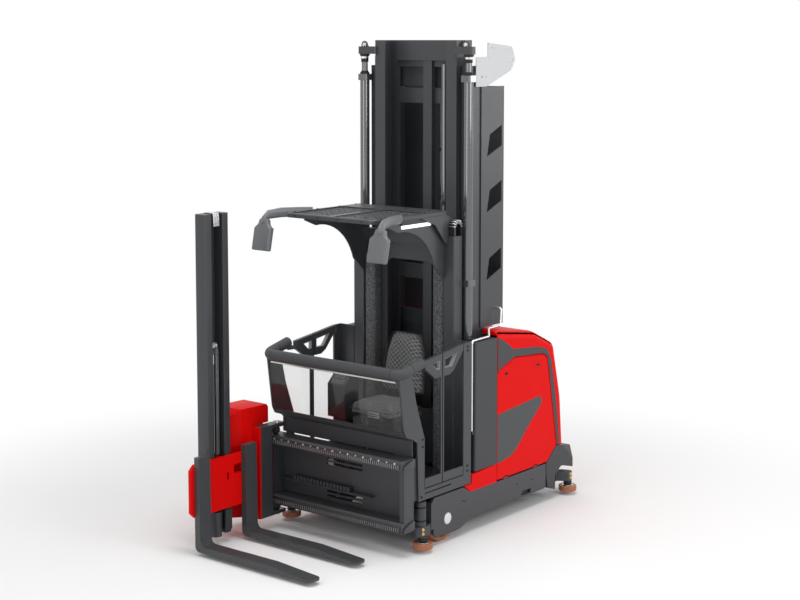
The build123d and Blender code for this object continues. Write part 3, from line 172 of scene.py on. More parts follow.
# Every painted or moulded surface has a fine skin: tiny bumps, a slow change of tone and of
# gloss, and edges that are a little rounded and coloured paler. The paler edges are rubbed wear on
# some finishes and a painted highlight on others.
def group_sockets(tree, inputs, outputs):
    kinds = {"colour": "NodeSocketColor", "number": "NodeSocketFloat", "vector": "NodeSocketVector"}
    for name, kind, value in inputs:
        socket = tree.interface.new_socket(name=name, in_out="INPUT", socket_type=kinds[kind])
        socket.default_value = value
    for name, kind in outputs:
        tree.interface.new_socket(name=name, in_out="OUTPUT", socket_type=kinds[kind])


# The places of the colour sockets among a Mix node's inputs and outputs.
colour_a = 6
colour_b = 7
colour_result = 2
skin = bpy.data.node_groups.new("fine_skin", "ShaderNodeTree")
group_sockets(
    skin,
    inputs=(
        ("Color", "colour", (0.5, 0.5, 0.5, 1)), ("Edge Color", "colour", (0.6, 0.6, 0.6, 1)),
        ("Edge Wear And Highlight", "number", 0.3), ("Edge Radius", "number", 0.002),
        ("Tone Change", "number", 0.1), ("Roughness", "number", 0.4),
        ("Grain Scale", "number", 500.0), ("Grain Depth", "number", 0.1)),
    outputs=(("Color", "colour"), ("Roughness", "number"), ("Normal", "vector")))
skin_in = add_node(skin, "NodeGroupInput", (-7, 0))
skin_out = add_node(skin, "NodeGroupOutput", (3, 0))
skin_spot = add_node(skin, "ShaderNodeTexCoord", (-7, 3))
skin_cloud = add_node(skin, "ShaderNodeTexNoise", (-5, 2))
set_sockets(skin_cloud, {"Scale": 3.0, "Detail": 6.0})
skin_fleck = add_node(skin, "ShaderNodeTexNoise", (-5, 4))
skin_fleck.inputs["Detail"].default_value = 3.0
skin_round = add_node(skin, "ShaderNodeBevel", (-5, 6), samples=4)
skin_face = add_node(skin, "ShaderNodeNewGeometry", (-5, 7))
skin_turn = add_node(skin, "ShaderNodeVectorMath", (-4, 6), operation="DOT_PRODUCT")
skin_edge = add_node(skin, "ShaderNodeMapRange", (-3, 6))
set_sockets(skin_edge, {"From Min": 0.995, "From Max": 0.80})
skin_patchy = add_node(skin, "ShaderNodeMath", (-2, 5), operation="MULTIPLY")
# The edge mask mixes in the paler edge colour: rubbed wear on some finishes, a painted highlight on
# others.
skin_wear_and_highlight = add_node(skin, "ShaderNodeMath", (-1, 5), operation="MULTIPLY")
skin_shade = add_node(skin, "ShaderNodeMapRange", (-4, 2))
skin_dark = add_node(skin, "ShaderNodeMath", (-5, 1), operation="SUBTRACT")
skin_dark.inputs[0].default_value = 1.0
skin_light = add_node(skin, "ShaderNodeMath", (-5, 0), operation="ADD")
skin_light.inputs[0].default_value = 1.0
skin_tone = add_node(skin, "ShaderNodeVectorMath", (-2, 1), operation="SCALE")
skin_colour = add_node(skin, "ShaderNodeMix", (0, 0), data_type="RGBA")
skin_gloss = add_node(skin, "ShaderNodeMath", (-2, 3), operation="MULTIPLY")
skin_bump = add_node(skin, "ShaderNodeBump", (1, 3))
skin_bump.inputs["Distance"].default_value = 0.0005
for start, end in (
        (skin_spot.outputs["Object"], skin_cloud.inputs["Vector"]),
        (skin_spot.outputs["Object"], skin_fleck.inputs["Vector"]),
        (skin_in.outputs["Grain Scale"], skin_fleck.inputs["Scale"]),
        (skin_in.outputs["Edge Radius"], skin_round.inputs["Radius"]),
        (skin_round.outputs["Normal"], skin_turn.inputs[0]),
        (skin_face.outputs["Normal"], skin_turn.inputs[1]),
        (skin_turn.outputs["Value"], skin_edge.inputs["Value"]),
        (skin_edge.outputs["Result"], skin_patchy.inputs[0]),
        (skin_fleck.outputs["Fac"], skin_patchy.inputs[1]),
        (skin_patchy.outputs[0], skin_wear_and_highlight.inputs[0]),
        (skin_in.outputs["Edge Wear And Highlight"], skin_wear_and_highlight.inputs[1]),
        (skin_in.outputs["Tone Change"], skin_dark.inputs[1]),
        (skin_in.outputs["Tone Change"], skin_light.inputs[1]),
        (skin_cloud.outputs["Fac"], skin_shade.inputs["Value"]),
        (skin_dark.outputs[0], skin_shade.inputs["To Min"]),
        (skin_light.outputs[0], skin_shade.inputs["To Max"]),
        (skin_in.outputs["Color"], skin_tone.inputs[0]),
        (skin_shade.outputs["Result"], skin_tone.inputs["Scale"]),
        (skin_wear_and_highlight.outputs[0], skin_colour.inputs[0]),
        (skin_tone.outputs["Vector"], skin_colour.inputs[colour_a]),
        (skin_in.outputs["Edge Color"], skin_colour.inputs[colour_b]),
        (skin_in.outputs["Roughness"], skin_gloss.inputs[0]),
        (skin_shade.outputs["Result"], skin_gloss.inputs[1]),
        (skin_fleck.outputs["Fac"], skin_bump.inputs["Height"]),
        (skin_in.outputs["Grain Depth"], skin_bump.inputs["Strength"]),
        (skin_round.outputs["Normal"], skin_bump.inputs["Normal"]),
        (skin_colour.outputs[colour_result], skin_out.inputs["Color"]),
        (skin_gloss.outputs[0], skin_out.inputs["Roughness"]),
        (skin_bump.outputs["Normal"], skin_out.inputs["Normal"])):
    skin.links.new(start, end)


def shader_of(material):
    return material.node_tree.nodes["Principled BSDF"]


def new_material(name, values):
    material = bpy.data.materials.new(name)
    material.use_nodes = True
    set_sockets(shader_of(material), values)
    return material


def skinned(
        name, colour, edge, wear_and_highlight, roughness, grain, depth, tone=0.10, radius=0.0015, metal=0.0):
    material = new_material(name, {"Metallic": metal})
    tree = material.node_tree
    group = add_node(tree, "ShaderNodeGroup", (-2, 0), node_tree=skin)
    set_sockets(group, {
        "Color": (*colour, 1), "Edge Color": (*edge, 1), "Edge Wear And Highlight": wear_and_highlight, "Edge Radius": radius,
        "Tone Change": tone, "Roughness": roughness, "Grain Scale": grain, "Grain Depth": depth})
    for socket, target in (("Color", "Base Color"), ("Roughness", "Roughness"), ("Normal", "Normal")):
        tree.links.new(group.outputs[socket], shader_of(material).inputs[target])
    return material


def finish_nodes(material, *names):
    for name in names:
        node = nodes[name]
        for slot in range(len(node.data.materials)):
            node.data.materials[slot] = material


# The chassis, masts, cab and carriages are welded steel. They have a satin anthracite powder coat
# that is rubbed a little paler along the edges.
anthracite = skinned(
    "anthracite_coat", colour=(0.040, 0.043, 0.048), edge=(0.16, 0.165, 0.17), wear_and_highlight=0.55,
    roughness=0.40, grain=700, depth=0.25)
finish_nodes(
    anthracite, "chassis_frame", "door_lugs", "roller_brackets", "mast_outer", "mast_back_plates",
    "mast_inner", "cab_carriage", "cab_rear_frame", "cab_floor_frame", "cab_side_plates",
    "gate_front_left", "gate_front_right", "gate_rear_left", "gate_rear_right", "roof_frame",
    "traverse_frame", "thrust_carriage")

# The roof's grilles are cut from sheet and coated like the rest. The bright edges of their bars
# are a painted highlight: a pale edge colour that stands in for glints.
grille_glint_coat = skinned(
    "grille_glint_coat", colour=(0.045, 0.047, 0.051), edge=(0.50, 0.50, 0.51), wear_and_highlight=1.6,
    roughness=0.34, grain=500, depth=0.3, tone=0.15, radius=0.003)
finish_nodes(grille_glint_coat, "roof_grille")

# The two forks are forged steel with the same coat. It is rubbed more, because their blades slide
# over pallets.
fork_coat = skinned(
    "fork_coat", colour=(0.045, 0.047, 0.051), edge=(0.30, 0.30, 0.30), wear_and_highlight=0.8,
    roughness=0.42, grain=500, depth=0.4, tone=0.18)
finish_nodes(fork_coat, "fork_front", "fork_rear")

# The rear hood, battery doors, side strips, thrust head's housing and fork carriage are sprayed in
# a deep even red that keeps only a faint gloss.
red_gloss = skinned(
    "red_gloss", colour=(0.74, 0.003, 0.003), edge=(0.76, 0.02, 0.015), wear_and_highlight=0.2,
    roughness=0.45, grain=350, depth=0.08, tone=0.03)
shader_of(red_gloss).inputs["Specular IOR Level"].default_value = 0.07
finish_nodes(
    red_gloss, "door_left", "door_right", "side_strips", "head_housing", "fork_carriage",
    "rear_hood")

# The pillar covers, corner fairings, cab front, seat base, console and energy chain are dark
# moulded plastic with a fine pebbled grain.
moulded = skinned(
    "moulded_cover", colour=(0.032, 0.034, 0.038), edge=(0.09, 0.092, 0.097), wear_and_highlight=0.35,
    roughness=0.52, grain=1100, depth=0.8, tone=0.08, radius=0.003)
finish_nodes(
    moulded, "pillar_covers", "corner_fairings", "cab_front_panel", "seat_base", "console",
    "energy_chain")

# The battery's steel case is painted dull black. It is scuffed along its edges from being rolled
# in and out.
case_paint = skinned(
    "case_paint", colour=(0.03, 0.032, 0.036), edge=(0.2, 0.2, 0.2), wear_and_highlight=0.7,
    roughness=0.6, grain=300, depth=0.6, tone=0.25)
finish_nodes(case_paint, "battery_block")

# The load wheels, the drive wheel and the guide rollers have tyres of cast polyurethane. It is
# brown and slightly waxy.
cast_tyre = skinned(
    "cast_tyre", colour=(0.36, 0.13, 0.055), edge=(0.45, 0.2, 0.1), wear_and_highlight=0.4,
    roughness=0.45, grain=260, depth=0.4, tone=0.22, radius=0.004)
set_sockets(shader_of(cast_tyre), {"Subsurface Weight": 0.06, "Subsurface Scale": 0.01})
finish_nodes(
    cast_tyre, "guide_roller_front_left", "guide_roller_front_right", "guide_roller_rear_left",
    "guide_roller_rear_right", "load_wheel_left", "load_wheel_right", "drive_wheel")

# The wheels' axles are bare turned steel and the auxiliary ram is chromed. The two racks are
# milled bars, darker, with paler edges along their teeth that are a painted highlight.
turned_steel = skinned(
    "turned_steel", colour=(0.60, 0.60, 0.61), edge=(0.8, 0.8, 0.8), wear_and_highlight=0.3,
    roughness=0.32, grain=1500, depth=0.3, tone=0.1, metal=1.0)
chrome = skinned(
    "chromed_rod", colour=(0.78, 0.78, 0.80), edge=(0.9, 0.9, 0.9), wear_and_highlight=0.1,
    roughness=0.10, grain=2000, depth=0.03, tone=0.05, metal=1.0)
rack_steel = skinned(
    "machined_rack", colour=(0.075, 0.077, 0.082), edge=(0.55, 0.55, 0.55), wear_and_highlight=0.9,
    roughness=0.42, grain=900, depth=0.5, tone=0.2, metal=0.7)
finish_nodes(turned_steel, "wheel_axles")
finish_nodes(chrome, "aux_ram")
finish_nodes(rack_steel, "racks")

# The drive unit is a rough cast housing, primed dark grey. It hangs from its slewing ring in the
# drive bay.
casting = skinned(
    "rough_casting", colour=(0.085, 0.087, 0.092), edge=(0.2, 0.2, 0.2), wear_and_highlight=0.5,
    roughness=0.65, grain=220, depth=1.0, tone=0.2)
finish_nodes(casting, "drive_unit")

# The two fins on the mast's back are sheet steel in a pale grey coat. They are screwed to the back
# plates.
fin_coat = skinned(
    "fin_coat", colour=(0.50, 0.51, 0.52), edge=(0.7, 0.7, 0.7), wear_and_highlight=0.3,
    roughness=0.38, grain=700, depth=0.2, tone=0.06)
finish_nodes(fin_coat, "mast_fins")

# The cable carrier is glossy black plastic. The hose that comes out of the mast's back plate and
# runs down over the left flank is sleeved in bright steel braid.
hose_rubber = skinned(
    "hose_rubber", colour=(0.018, 0.018, 0.019), edge=(0.05, 0.05, 0.05), wear_and_highlight=0.2,
    roughness=0.2, grain=1200, depth=0.2, tone=0.1)
finish_nodes(hose_rubber, "cable_carrier")
bright_braid = skinned(
    "bright_braid", colour=(0.80, 0.80, 0.80), edge=(0.9, 0.9, 0.9), wear_and_highlight=0.3,
    roughness=0.3, grain=1600, depth=0.6, tone=0.08, metal=0.9)
finish_nodes(bright_braid, "flank_hose")

# The hand rail is a steel tube in a thick sleeve of skinned foam, with a fine pitted face that
# hands have rubbed a little paler.
pad_foam = skinned(
    "pad_foam", colour=(0.045, 0.047, 0.051), edge=(0.1, 0.1, 0.105), wear_and_highlight=0.25,
    roughness=0.62, grain=420, depth=1.0, tone=0.15, radius=0.004)
finish_nodes(pad_foam, "cab_hand_rail")

# The front window is a clear, faintly grey sheet. It is set in the cab's front panel and clamped
# under the hand rail.
window_glass = new_material("window_glass", {
    "Base Color": (0.78, 0.77, 0.77, 1), "Roughness": 0.02, "Transmission Weight": 1.0, "IOR": 1.3})
finish_nodes(window_glass, "cab_window")


# Socket screws of blackened steel hold the cab's side plates to its frame. They are set into the
# holes that the plates have for them.
def turned(shape, start, along, radius, length, sides=24, tip=None):
    way = Vector(along).normalized()
    turn = way.to_track_quat("Z", "Y").to_matrix().to_4x4()
    bmesh.ops.create_cone(
        shape, cap_ends=True, segments=sides, radius1=radius,
        radius2=radius if tip is None else tip, depth=length,
        matrix=Matrix.Translation(Vector(start) + way * length / 2) @ turn)


def round_edges(shape, edges, offset, segments):
    bmesh.ops.bevel(
        shape, geom=edges, offset=offset, offset_type="OFFSET", segments=segments, profile=0.5,
        affect="EDGES", clamp_overlap=True, material=-1)


def socket_screw(shape, start, along, radius):
    before = set(shape.faces)
    turned(shape, start, along, radius, radius * 0.6, sides=18)
    way = Vector(along).normalized()
    ends = [face for face in shape.faces if face not in before and len(face.verts) > 4]
    top = max(ends, key=lambda face: face.calc_center_median().dot(way))
    bmesh.ops.inset_region(shape, faces=[top], thickness=radius * 0.4, depth=-radius * 0.3)


rounded_angle = 0.6
crease_angle = math.radians(35)


def assemble(name, shape, material, body, rounding=0.0008, steps=1):
    if rounding:
        sharp = [
            edge for edge in shape.edges
            if edge.is_manifold and edge.calc_face_angle() > rounded_angle]
        round_edges(shape, sharp, rounding, steps)
    bmesh.ops.recalc_face_normals(shape, faces=shape.faces[:])
    mesh = bpy.data.meshes.new(name)
    shape.to_mesh(mesh)
    shape.free()
    mesh.shade_smooth()
    mesh.set_sharp_from_angle(angle=crease_angle)
    mesh.materials.append(material)
    piece = new_object(name, mesh)
    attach(piece, body)
    return piece


black_screw = skinned(
    "black_screw", colour=(0.022, 0.022, 0.024), edge=(0.12, 0.12, 0.12), wear_and_highlight=0.5,
    roughness=0.4, grain=1500, depth=0.3, tone=0.15, metal=0.8)

flanks = {"left": 1, "right": -1}
flank_x = 0.659
flank_holes = (
    (-0.015, 0.42), (0, 0.80), (0, 0.855), (0.56, 0.50), (0.56, 0.54), (0.56, 1.44), (0.56, 1.47))
flank_screws = bmesh.new()
for side in (-1, 1):
    for y, z in flank_holes:
        socket_screw(flank_screws, (side * flank_x, y, z), (side, 0, 0), 0.0085)
assemble("cab_flank_screws", flank_screws, black_screw, "cab", rounding=0)


# The eyes at the top of the inner mast are bolted through to the rods' heads. Each rod ends in a
# plated hexagon between two black collars.
def hex_bolt(shape, start, along, radius):
    turned(shape, start, along, radius * 1.7, radius * 0.3)
    head = Vector(start) + Vector(along).normalized() * radius * 0.3
    turned(shape, head, along, radius * 1.15, radius * 0.9, sides=6)


plated_screw = skinned(
    "plated_screw", colour=(0.62, 0.62, 0.60), edge=(0.8, 0.8, 0.8), wear_and_highlight=0.3,
    roughness=0.28, grain=1500, depth=0.3, tone=0.12, metal=1.0)
eye_x = 0.504
eye_z = 3.762
rod_x = 0.518
rod_y = 0.750
upward = (0, 0, 1)
forward = (0, -1, 0)
eye_bolts = bmesh.new()
for side in (-1, 1):
    hex_bolt(eye_bolts, (side * eye_x, 0.729, eye_z), forward, 0.011)
    turned(eye_bolts, (side * rod_x, rod_y, 3.652), upward, 0.033, 0.022, sides=6)
assemble("mast_eye_bolts", eye_bolts, plated_screw, "inner_mast", rounding=0.001)
rod_collars = bmesh.new()
for side in (-1, 1):
    turned(rod_collars, (side * rod_x, rod_y, 3.674), upward, 0.040, 0.016)
    turned(rod_collars, (side * rod_x, rod_y, 3.625), upward, 0.030, 0.027)
assemble("mast_rod_collars", rod_collars, black_screw, "inner_mast", rounding=0.002)

# Each lift cylinder has a gland nut at its top, and two clamps that are screwed to the outer mast's
# brackets. All are blackened steel.
clamp_levels = (1.925, 3.51)
gland_nuts = bmesh.new()
for side in (-1, 1):
    turned(gland_nuts, (side * rod_x, rod_y, 3.530), upward, 0.038, 0.014)
    turned(gland_nuts, (side * rod_x, rod_y, 3.544), upward, 0.032, 0.012, tip=0.028)
    for level in clamp_levels:
        for x in (0.478, 0.550):
            socket_screw(gland_nuts, (side * x, 0.7405, level), forward, 0.006)
assemble("cylinder_glands", gland_nuts, black_screw, "chassis", rounding=0.0015)

# The lift cylinders, their rods and the auxiliary cylinder are drawn and polished dark. They
# mirror the studio along their sides and stay grey down the middle.
tube_paint = skinned(
    "tube_paint", colour=(0.045, 0.047, 0.052), edge=(0.2, 0.2, 0.21), wear_and_highlight=0.2,
    roughness=0.09, grain=1400, depth=0.04, tone=0.1)
shader_of(tube_paint).inputs["IOR"].default_value = 2.1
finish_nodes(tube_paint, "lift_cylinders", "aux_cylinder", "mast_rods")


# The sweep on each battery door is a dark film with a hard edge, stuck on the red. It stops at
# the door's front seam.
def thicken(shape, faces, lift):
    grown = bmesh.ops.extrude_face_region(shape, geom=faces)
    far_side = [part for part in grown["geom"] if isinstance(part, bmesh.types.BMVert)]
    bmesh.ops.translate(shape, verts=far_side, vec=lift)


def plate(shape, points, lift):
    face = shape.faces.new([shape.verts.new(point) for point in points])
    thicken(shape, [face], lift)


sweep_film = skinned(
    "sweep_film", colour=(0.040, 0.043, 0.046), edge=(0.06, 0.06, 0.065), wear_and_highlight=0.2,
    roughness=0.38, grain=900, depth=0.1, tone=0.05)
sweep_line = [
    (0.961, 0.863), (1.250, 0.888), (1.470, 0.906), (1.547, 0.911), (1.572, 0.904), (1.584, 0.888),
    (1.588, 0.866), (1.574, 0.838), (1.534, 0.805), (1.376, 0.677), (1.221, 0.535), (1.170, 0.505),
    (1.110, 0.489), (1.040, 0.478), (0.961, 0.470),
]
for name, side in flanks.items():
    sweep = bmesh.new()
    plate(sweep, [(side * 0.6600, y, z) for y, z in sweep_line], (side * 0.0006, 0, 0))
    assemble(f"door_sweep_{name}", sweep, sweep_film, f"door_{name}_body", rounding=0)


# Two turn latches hold each door. Each is a black moulded cup in the door's recess with a finger
# tab that is turned to open it.
def block(shape, low, high):
    size = [b - a for a, b in zip(low, high)]
    middle = [(a + b) / 2 for a, b in zip(low, high)]
    place = Matrix.Translation(middle) @ Matrix.Diagonal((*size, 1))
    bmesh.ops.create_cube(shape, size=1, matrix=place)


cup_x = 0.6572
cup_line = [
    (-0.021, -0.003), (-0.014, -0.010), (0.014, -0.010), (0.021, -0.003), (0.021, 0.003),
    (0.014, 0.010), (-0.014, 0.010), (-0.021, 0.003),
]
for name, side in flanks.items():
    latches = bmesh.new()
    tab_low, tab_high = sorted((side * 0.6620, side * 0.6660))
    for y, z in ((1.080, 1.175), (1.530, 1.175)):
        plate(latches, [(side * cup_x, y + along, z + up) for along, up in cup_line],
              (side * 0.0034, 0, 0))
        turned(latches, (side * 0.6600, y, z), (side, 0, 0), 0.008, 0.0025, sides=20)
        block(latches, (tab_low, y - 0.007, z - 0.0018), (tab_high, y + 0.007, z + 0.0018))
    assemble(f"door_latches_{name}", latches, black_screw, f"door_{name}_body", rounding=0.0006)

# A plated steel clamp bar holds the front window's upper edge under the hand rail. Screws draw it
# to a black moulded strip behind it.
clamp_bar = bmesh.new()
block(clamp_bar, (-0.618, -0.2755, 1.318), (0.618, -0.2690, 1.330))
for x in (-0.56, -0.28, 0, 0.28, 0.56):
    socket_screw(clamp_bar, (x, -0.2755, 1.324), forward, 0.0045)
assemble("window_clamp_bar", clamp_bar, plated_screw, "cab", rounding=0.0012)
clamp_backing = bmesh.new()
block(clamp_backing, (-0.640, -0.2730, 1.3305), (0.640, -0.2620, 1.3440))
assemble("window_clamp_backing", clamp_backing, moulded, "cab", rounding=0.001)

# A lamp lights the cab from under the roof's left edge. Its moulded case is screwed to the roof's
# frame and holds a white diffuser that glows a little.
lamp_case = bmesh.new()
block(lamp_case, (0.395, 0.045, 2.428), (0.432, 0.405, 2.4655))
assemble("cab_lamp_case", lamp_case, moulded, "cab", rounding=0.004, steps=2)
diffuser_white = new_material("diffuser_white", {
    "Base Color": (0.9, 0.9, 0.9, 1), "Roughness": 0.35, "Emission Color": pure_white,
    "Emission Strength": 0.9})
lamp_diffuser = bmesh.new()
block(lamp_diffuser, (0.398, 0.052, 2.400), (0.429, 0.398, 2.4285))
assemble("cab_lamp_diffuser", lamp_diffuser, diffuser_white, "cab", rounding=0.006, steps=3)

# Socket screws of blackened steel hold the roof's grilles and the rails of its frame. They stand
# on the upper face and on the front edge.
roof_top = 2.4995
roof_screws = bmesh.new()
for side in (-1, 1):
    for y in (-0.20, 0.06, 0.32, 0.52):
        socket_screw(roof_screws, (side * 0.422, y, roof_top), upward, 0.007)
    for x in (0.10, 0.33):
        socket_screw(roof_screws, (side * x, -0.3045, 2.482), forward, 0.006)
        socket_screw(roof_screws, (side * x, 0.50, roof_top), upward, 0.007)
assemble("roof_screws", roof_screws, black_screw, "cab", rounding=0)


# Each mirror is a deep moulded shell on a curved arm that comes off the roof's side. It is tipped
# forward at its foot, and its glass faces the driver in a thin black rim.
def swept(shape, stations, sides=20):
    rings = []
    for place, along, wide, high in stations:
        turn = Vector(along).normalized().to_track_quat("Z", "Y").to_matrix().to_4x4()
        ring = bmesh.ops.create_circle(
            shape, segments=sides, radius=1,
            matrix=Matrix.Translation(place) @ turn @ Matrix.Diagonal((wide, high, 1, 1)))
        rings.append(list({edge for vertex in ring["verts"] for edge in vertex.link_edges}))
    for near, far in zip(rings, rings[1:]):
        bmesh.ops.bridge_loops(shape, edges=near + far)
    bmesh.ops.holes_fill(shape, edges=[edge for edge in shape.edges if edge.is_boundary], sides=0)


# The shells' paler edges are a painted highlight. The console's keys share this finish.
mirror_shell = skinned(
    "mirror_shell", colour=(0.135, 0.142, 0.15), edge=(0.40, 0.41, 0.42), wear_and_highlight=0.5,
    roughness=0.36, grain=1000, depth=0.3, tone=0.06)
mirror_glass = new_material(
    "mirror_glass", {"Base Color": (0.85, 0.86, 0.88, 1), "Metallic": 1.0, "Roughness": 0.03})
mirror_centre = 0.570
glass_middle = 2.300
mirror_line = [
    (-0.087, 2.205), (0.083, 2.205), (0.086, 2.378), (0.050, 2.408), (0.040, 2.450), (-0.040, 2.450),
    (-0.050, 2.408), (-0.086, 2.378),
]
glass_line = [(-0.074, 2.218), (0.070, 2.218), (0.073, 2.380), (-0.073, 2.380)]
shells = bmesh.new()
glasses = bmesh.new()
rims = bmesh.new()
for side in (-1, 1):
    centre = side * mirror_centre
    plate(shells, [(centre + side * x, -0.400, z) for x, z in mirror_line], (0, 0.046, 0))
    plate(glasses, [(centre + side * x, -0.3535, z) for x, z in glass_line], (0, 0.0030, 0))
    rim_line = [(x * 1.07, glass_middle + (z - glass_middle) * 1.06) for x, z in glass_line]
    plate(rims, [(centre + side * x, -0.3538, z) for x, z in rim_line], (0, 0.0018, 0))
round_edges(shells, shells.edges[:], 0.012, 4)
tip = Matrix.Rotation(math.radians(-12), 3, "X")
for shape in (shells, glasses, rims):
    bmesh.ops.rotate(shape, cent=(0, -0.377, 2.430), matrix=tip, verts=shape.verts[:])
for side in (-1, 1):
    swept(shells, [
        (Vector((side * x, y, z)), (side * run_x, run_y, run_z), wide, high)
        for x, y, z, run_x, run_y, run_z, wide, high in (
            (0.436, 0.020, 2.483, 1.0, -1.0, 0.0, 0.015, 0.034),
            (0.480, -0.100, 2.487, 0.4, -1.0, 0.0, 0.015, 0.036),
            (0.530, -0.240, 2.489, 0.3, -1.0, 0.0, 0.016, 0.038),
            (0.562, -0.335, 2.480, 0.1, -1.0, -0.5, 0.017, 0.038),
            (0.569, -0.372, 2.455, 0.0, -0.3, -1.0, 0.017, 0.038),
            (0.570, -0.378, 2.425, 0.0, 0.0, -1.0, 0.016, 0.036),
        )])
mirror_shells = assemble("mirror_shells", shells, mirror_shell, "cab", rounding=0)
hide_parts("mirrors")
assemble("mirror_glasses", glasses, mirror_glass, "cab", rounding=0.0006)
assemble("mirror_rims", rims, black_screw, "cab", rounding=0.0005)

# The grips of the gates have a rolled inner lip round their openings. It is pressed from the same
# sheet as the leaf. Its pale grey colour and brighter edges are a painted highlight.
lip_highlight_paint = skinned(
    "lip_highlight_paint", colour=(0.34, 0.345, 0.35), edge=(0.7, 0.7, 0.7), wear_and_highlight=0.9,
    roughness=0.32, grain=700, depth=0.2, tone=0.1)
lip_width = 0.005
lip_depth = 0.030
grip_holes = {
    "front": ((0.118, 1.404), (0.212, 1.416), (0.212, 1.352), (0.172, 1.352)),
    "rear": ((0.270, 1.424), (0.430, 1.445), (0.358, 1.352), (0.270, 1.352)),
}
for leaf, hole in grip_holes.items():
    for name, side in flanks.items():
        lip = bmesh.new()
        face = lip.faces.new([lip.verts.new((side * flank_x, y, z)) for y, z in hole])
        face.normal_update()
        bmesh.ops.inset_region(lip, faces=[face], thickness=lip_width, use_boundary=True)
        lip.faces.remove(face)
        thicken(lip, lip.faces[:], (side * -lip_depth, 0, 0))
        assemble(f"grip_lip_{leaf}_{name}", lip, lip_highlight_paint, f"gate_{leaf}_{name}_body",
                 rounding=0.003, steps=2)

# The hand rail's foam is pushed on in five lengths that butt against each other. Each joint shows
# as a dark groove.
seam_radius = 0.0428
seam_width = 0.004
rail_seams = bmesh.new()
for side in (-1, 1):
    turned(rail_seams, (side * 0.590, -0.268, 1.378), (side, 0, 0), seam_radius, seam_width, sides=32)
    turned(rail_seams, (side * 0.664, -0.160, 1.404), (0, 1, 0.24), seam_radius, seam_width, sides=32)
assemble("hand_rail_joints", rail_seams, hose_rubber, "cab", rounding=0)

# Each guide roller turns on a plated steel hub under a clamp with black rings. Two brass-coloured
# bolts close the clamp.
brass_bolt = skinned(
    "brass_bolt", colour=(0.75, 0.52, 0.20), edge=(0.9, 0.75, 0.4), wear_and_highlight=0.3,
    roughness=0.25, grain=1500, depth=0.2, tone=0.1, metal=1.0)
clamp_bolts = bmesh.new()
for side in (-1, 1):
    for z in (0.140, 0.172):
        hex_bolt(clamp_bolts, (side * 0.6715, -0.012, z), (side, 0, 0), 0.008)
        hex_bolt(clamp_bolts, (side * 0.6925, 1.985, z), (side, 0, 0), 0.008)
assemble("roller_clamp_bolts", clamp_bolts, brass_bolt, "chassis", rounding=0.0006)
roller_x = 0.662
roller_rows = {"front": 0, "rear": 1.988}
clamp_rings = bmesh.new()
for side in (-1, 1):
    for y in roller_rows.values():
        turned(clamp_rings, (side * roller_x, y, 0.083), upward, 0.036, 0.010)
        turned(clamp_rings, (side * roller_x, y, 0.100), upward, 0.036, 0.010)
    turned(clamp_rings, (side * 0.622, 0.014, 0.228), upward, 0.050, 0.012)
    turned(clamp_rings, (side * 0.622, 0.014, 0.330), upward, 0.050, 0.012)
assemble("roller_clamp_rings", clamp_rings, black_screw, "chassis", rounding=0.002, steps=2)
hub_radius = 0.046
hub_rim = 0.0035
bolt_circle = 0.034
for row, y in roller_rows.items():
    for name, side in flanks.items():
        x = side * roller_x
        hub = bmesh.new()
        turned(hub, (x, y, 0.0745), upward, hub_radius, hub_rim, sides=40)
        turned(hub, (x, y, 0.0305), (0, 0, -1), hub_radius, hub_rim, sides=40)
        for spoke in range(6):
            angle = math.radians(60 * spoke)
            socket_screw(
                hub, (x + bolt_circle * math.cos(angle), y + bolt_circle * math.sin(angle), 0.078),
                upward, 0.004)
        assemble(f"roller_hub_{row}_{name}", hub, plated_screw, f"guide_roller_{row}_{name}_body",
                 rounding=0.0008)

# The load wheels' axle ends in a pressed cap on each flank, painted off-white, with a hexagon at
# its middle.
axle_y = 0.305
axle_z = 0.185
cap_rings = bmesh.new()
for side in (-1, 1):
    turned(cap_rings, (side * 0.6648, axle_y, axle_z), (side, 0, 0), 0.040, 0.0024, sides=40, tip=0.036)
    turned(cap_rings, (side * 0.6670, axle_y, axle_z), (side, 0, 0), 0.014, 0.0022, sides=6)
cap_paint = skinned(
    "cap_paint", colour=(0.74, 0.74, 0.72), edge=(0.5, 0.5, 0.5), wear_and_highlight=0.3,
    roughness=0.4, grain=800, depth=0.2, tone=0.12)
assemble("axle_cap_rings", cap_rings, cap_paint, "chassis", rounding=0.0008)

# A leaf chain runs over the auxiliary ram's sheave and lifts the fork carriage. It has pins
# between rows of oiled bright links.
chain_bright = skinned(
    "chain_bright", colour=(0.55, 0.55, 0.54), edge=(0.8, 0.8, 0.8), wear_and_highlight=0.4,
    roughness=0.3, grain=1200, depth=0.3, tone=0.2, metal=1.0)
chain_low = 0.70
chain_high = 1.515
pin_pitch = 0.0158
chain_pins = bmesh.new()
for step in range(int((chain_high - chain_low) / pin_pitch)):
    z = chain_low + pin_pitch * step
    turned(chain_pins, (-0.6625, -0.8305, z), (0, 1, 0), 0.0042, 0.031, sides=10)
assemble("aux_chain_pins", chain_pins, chain_bright, "auxiliary_ram", rounding=0)
chain_sides = bmesh.new()
for y in (-0.8300, -0.8225, -0.8105, -0.8030):
    block(chain_sides, (-0.6685, y, 0.692), (-0.6600, y + 0.003, 1.512))
assemble("aux_chain_plates", chain_sides, rack_steel, "auxiliary_ram", rounding=0.0008)
finish_nodes(chain_bright, "aux_chain")

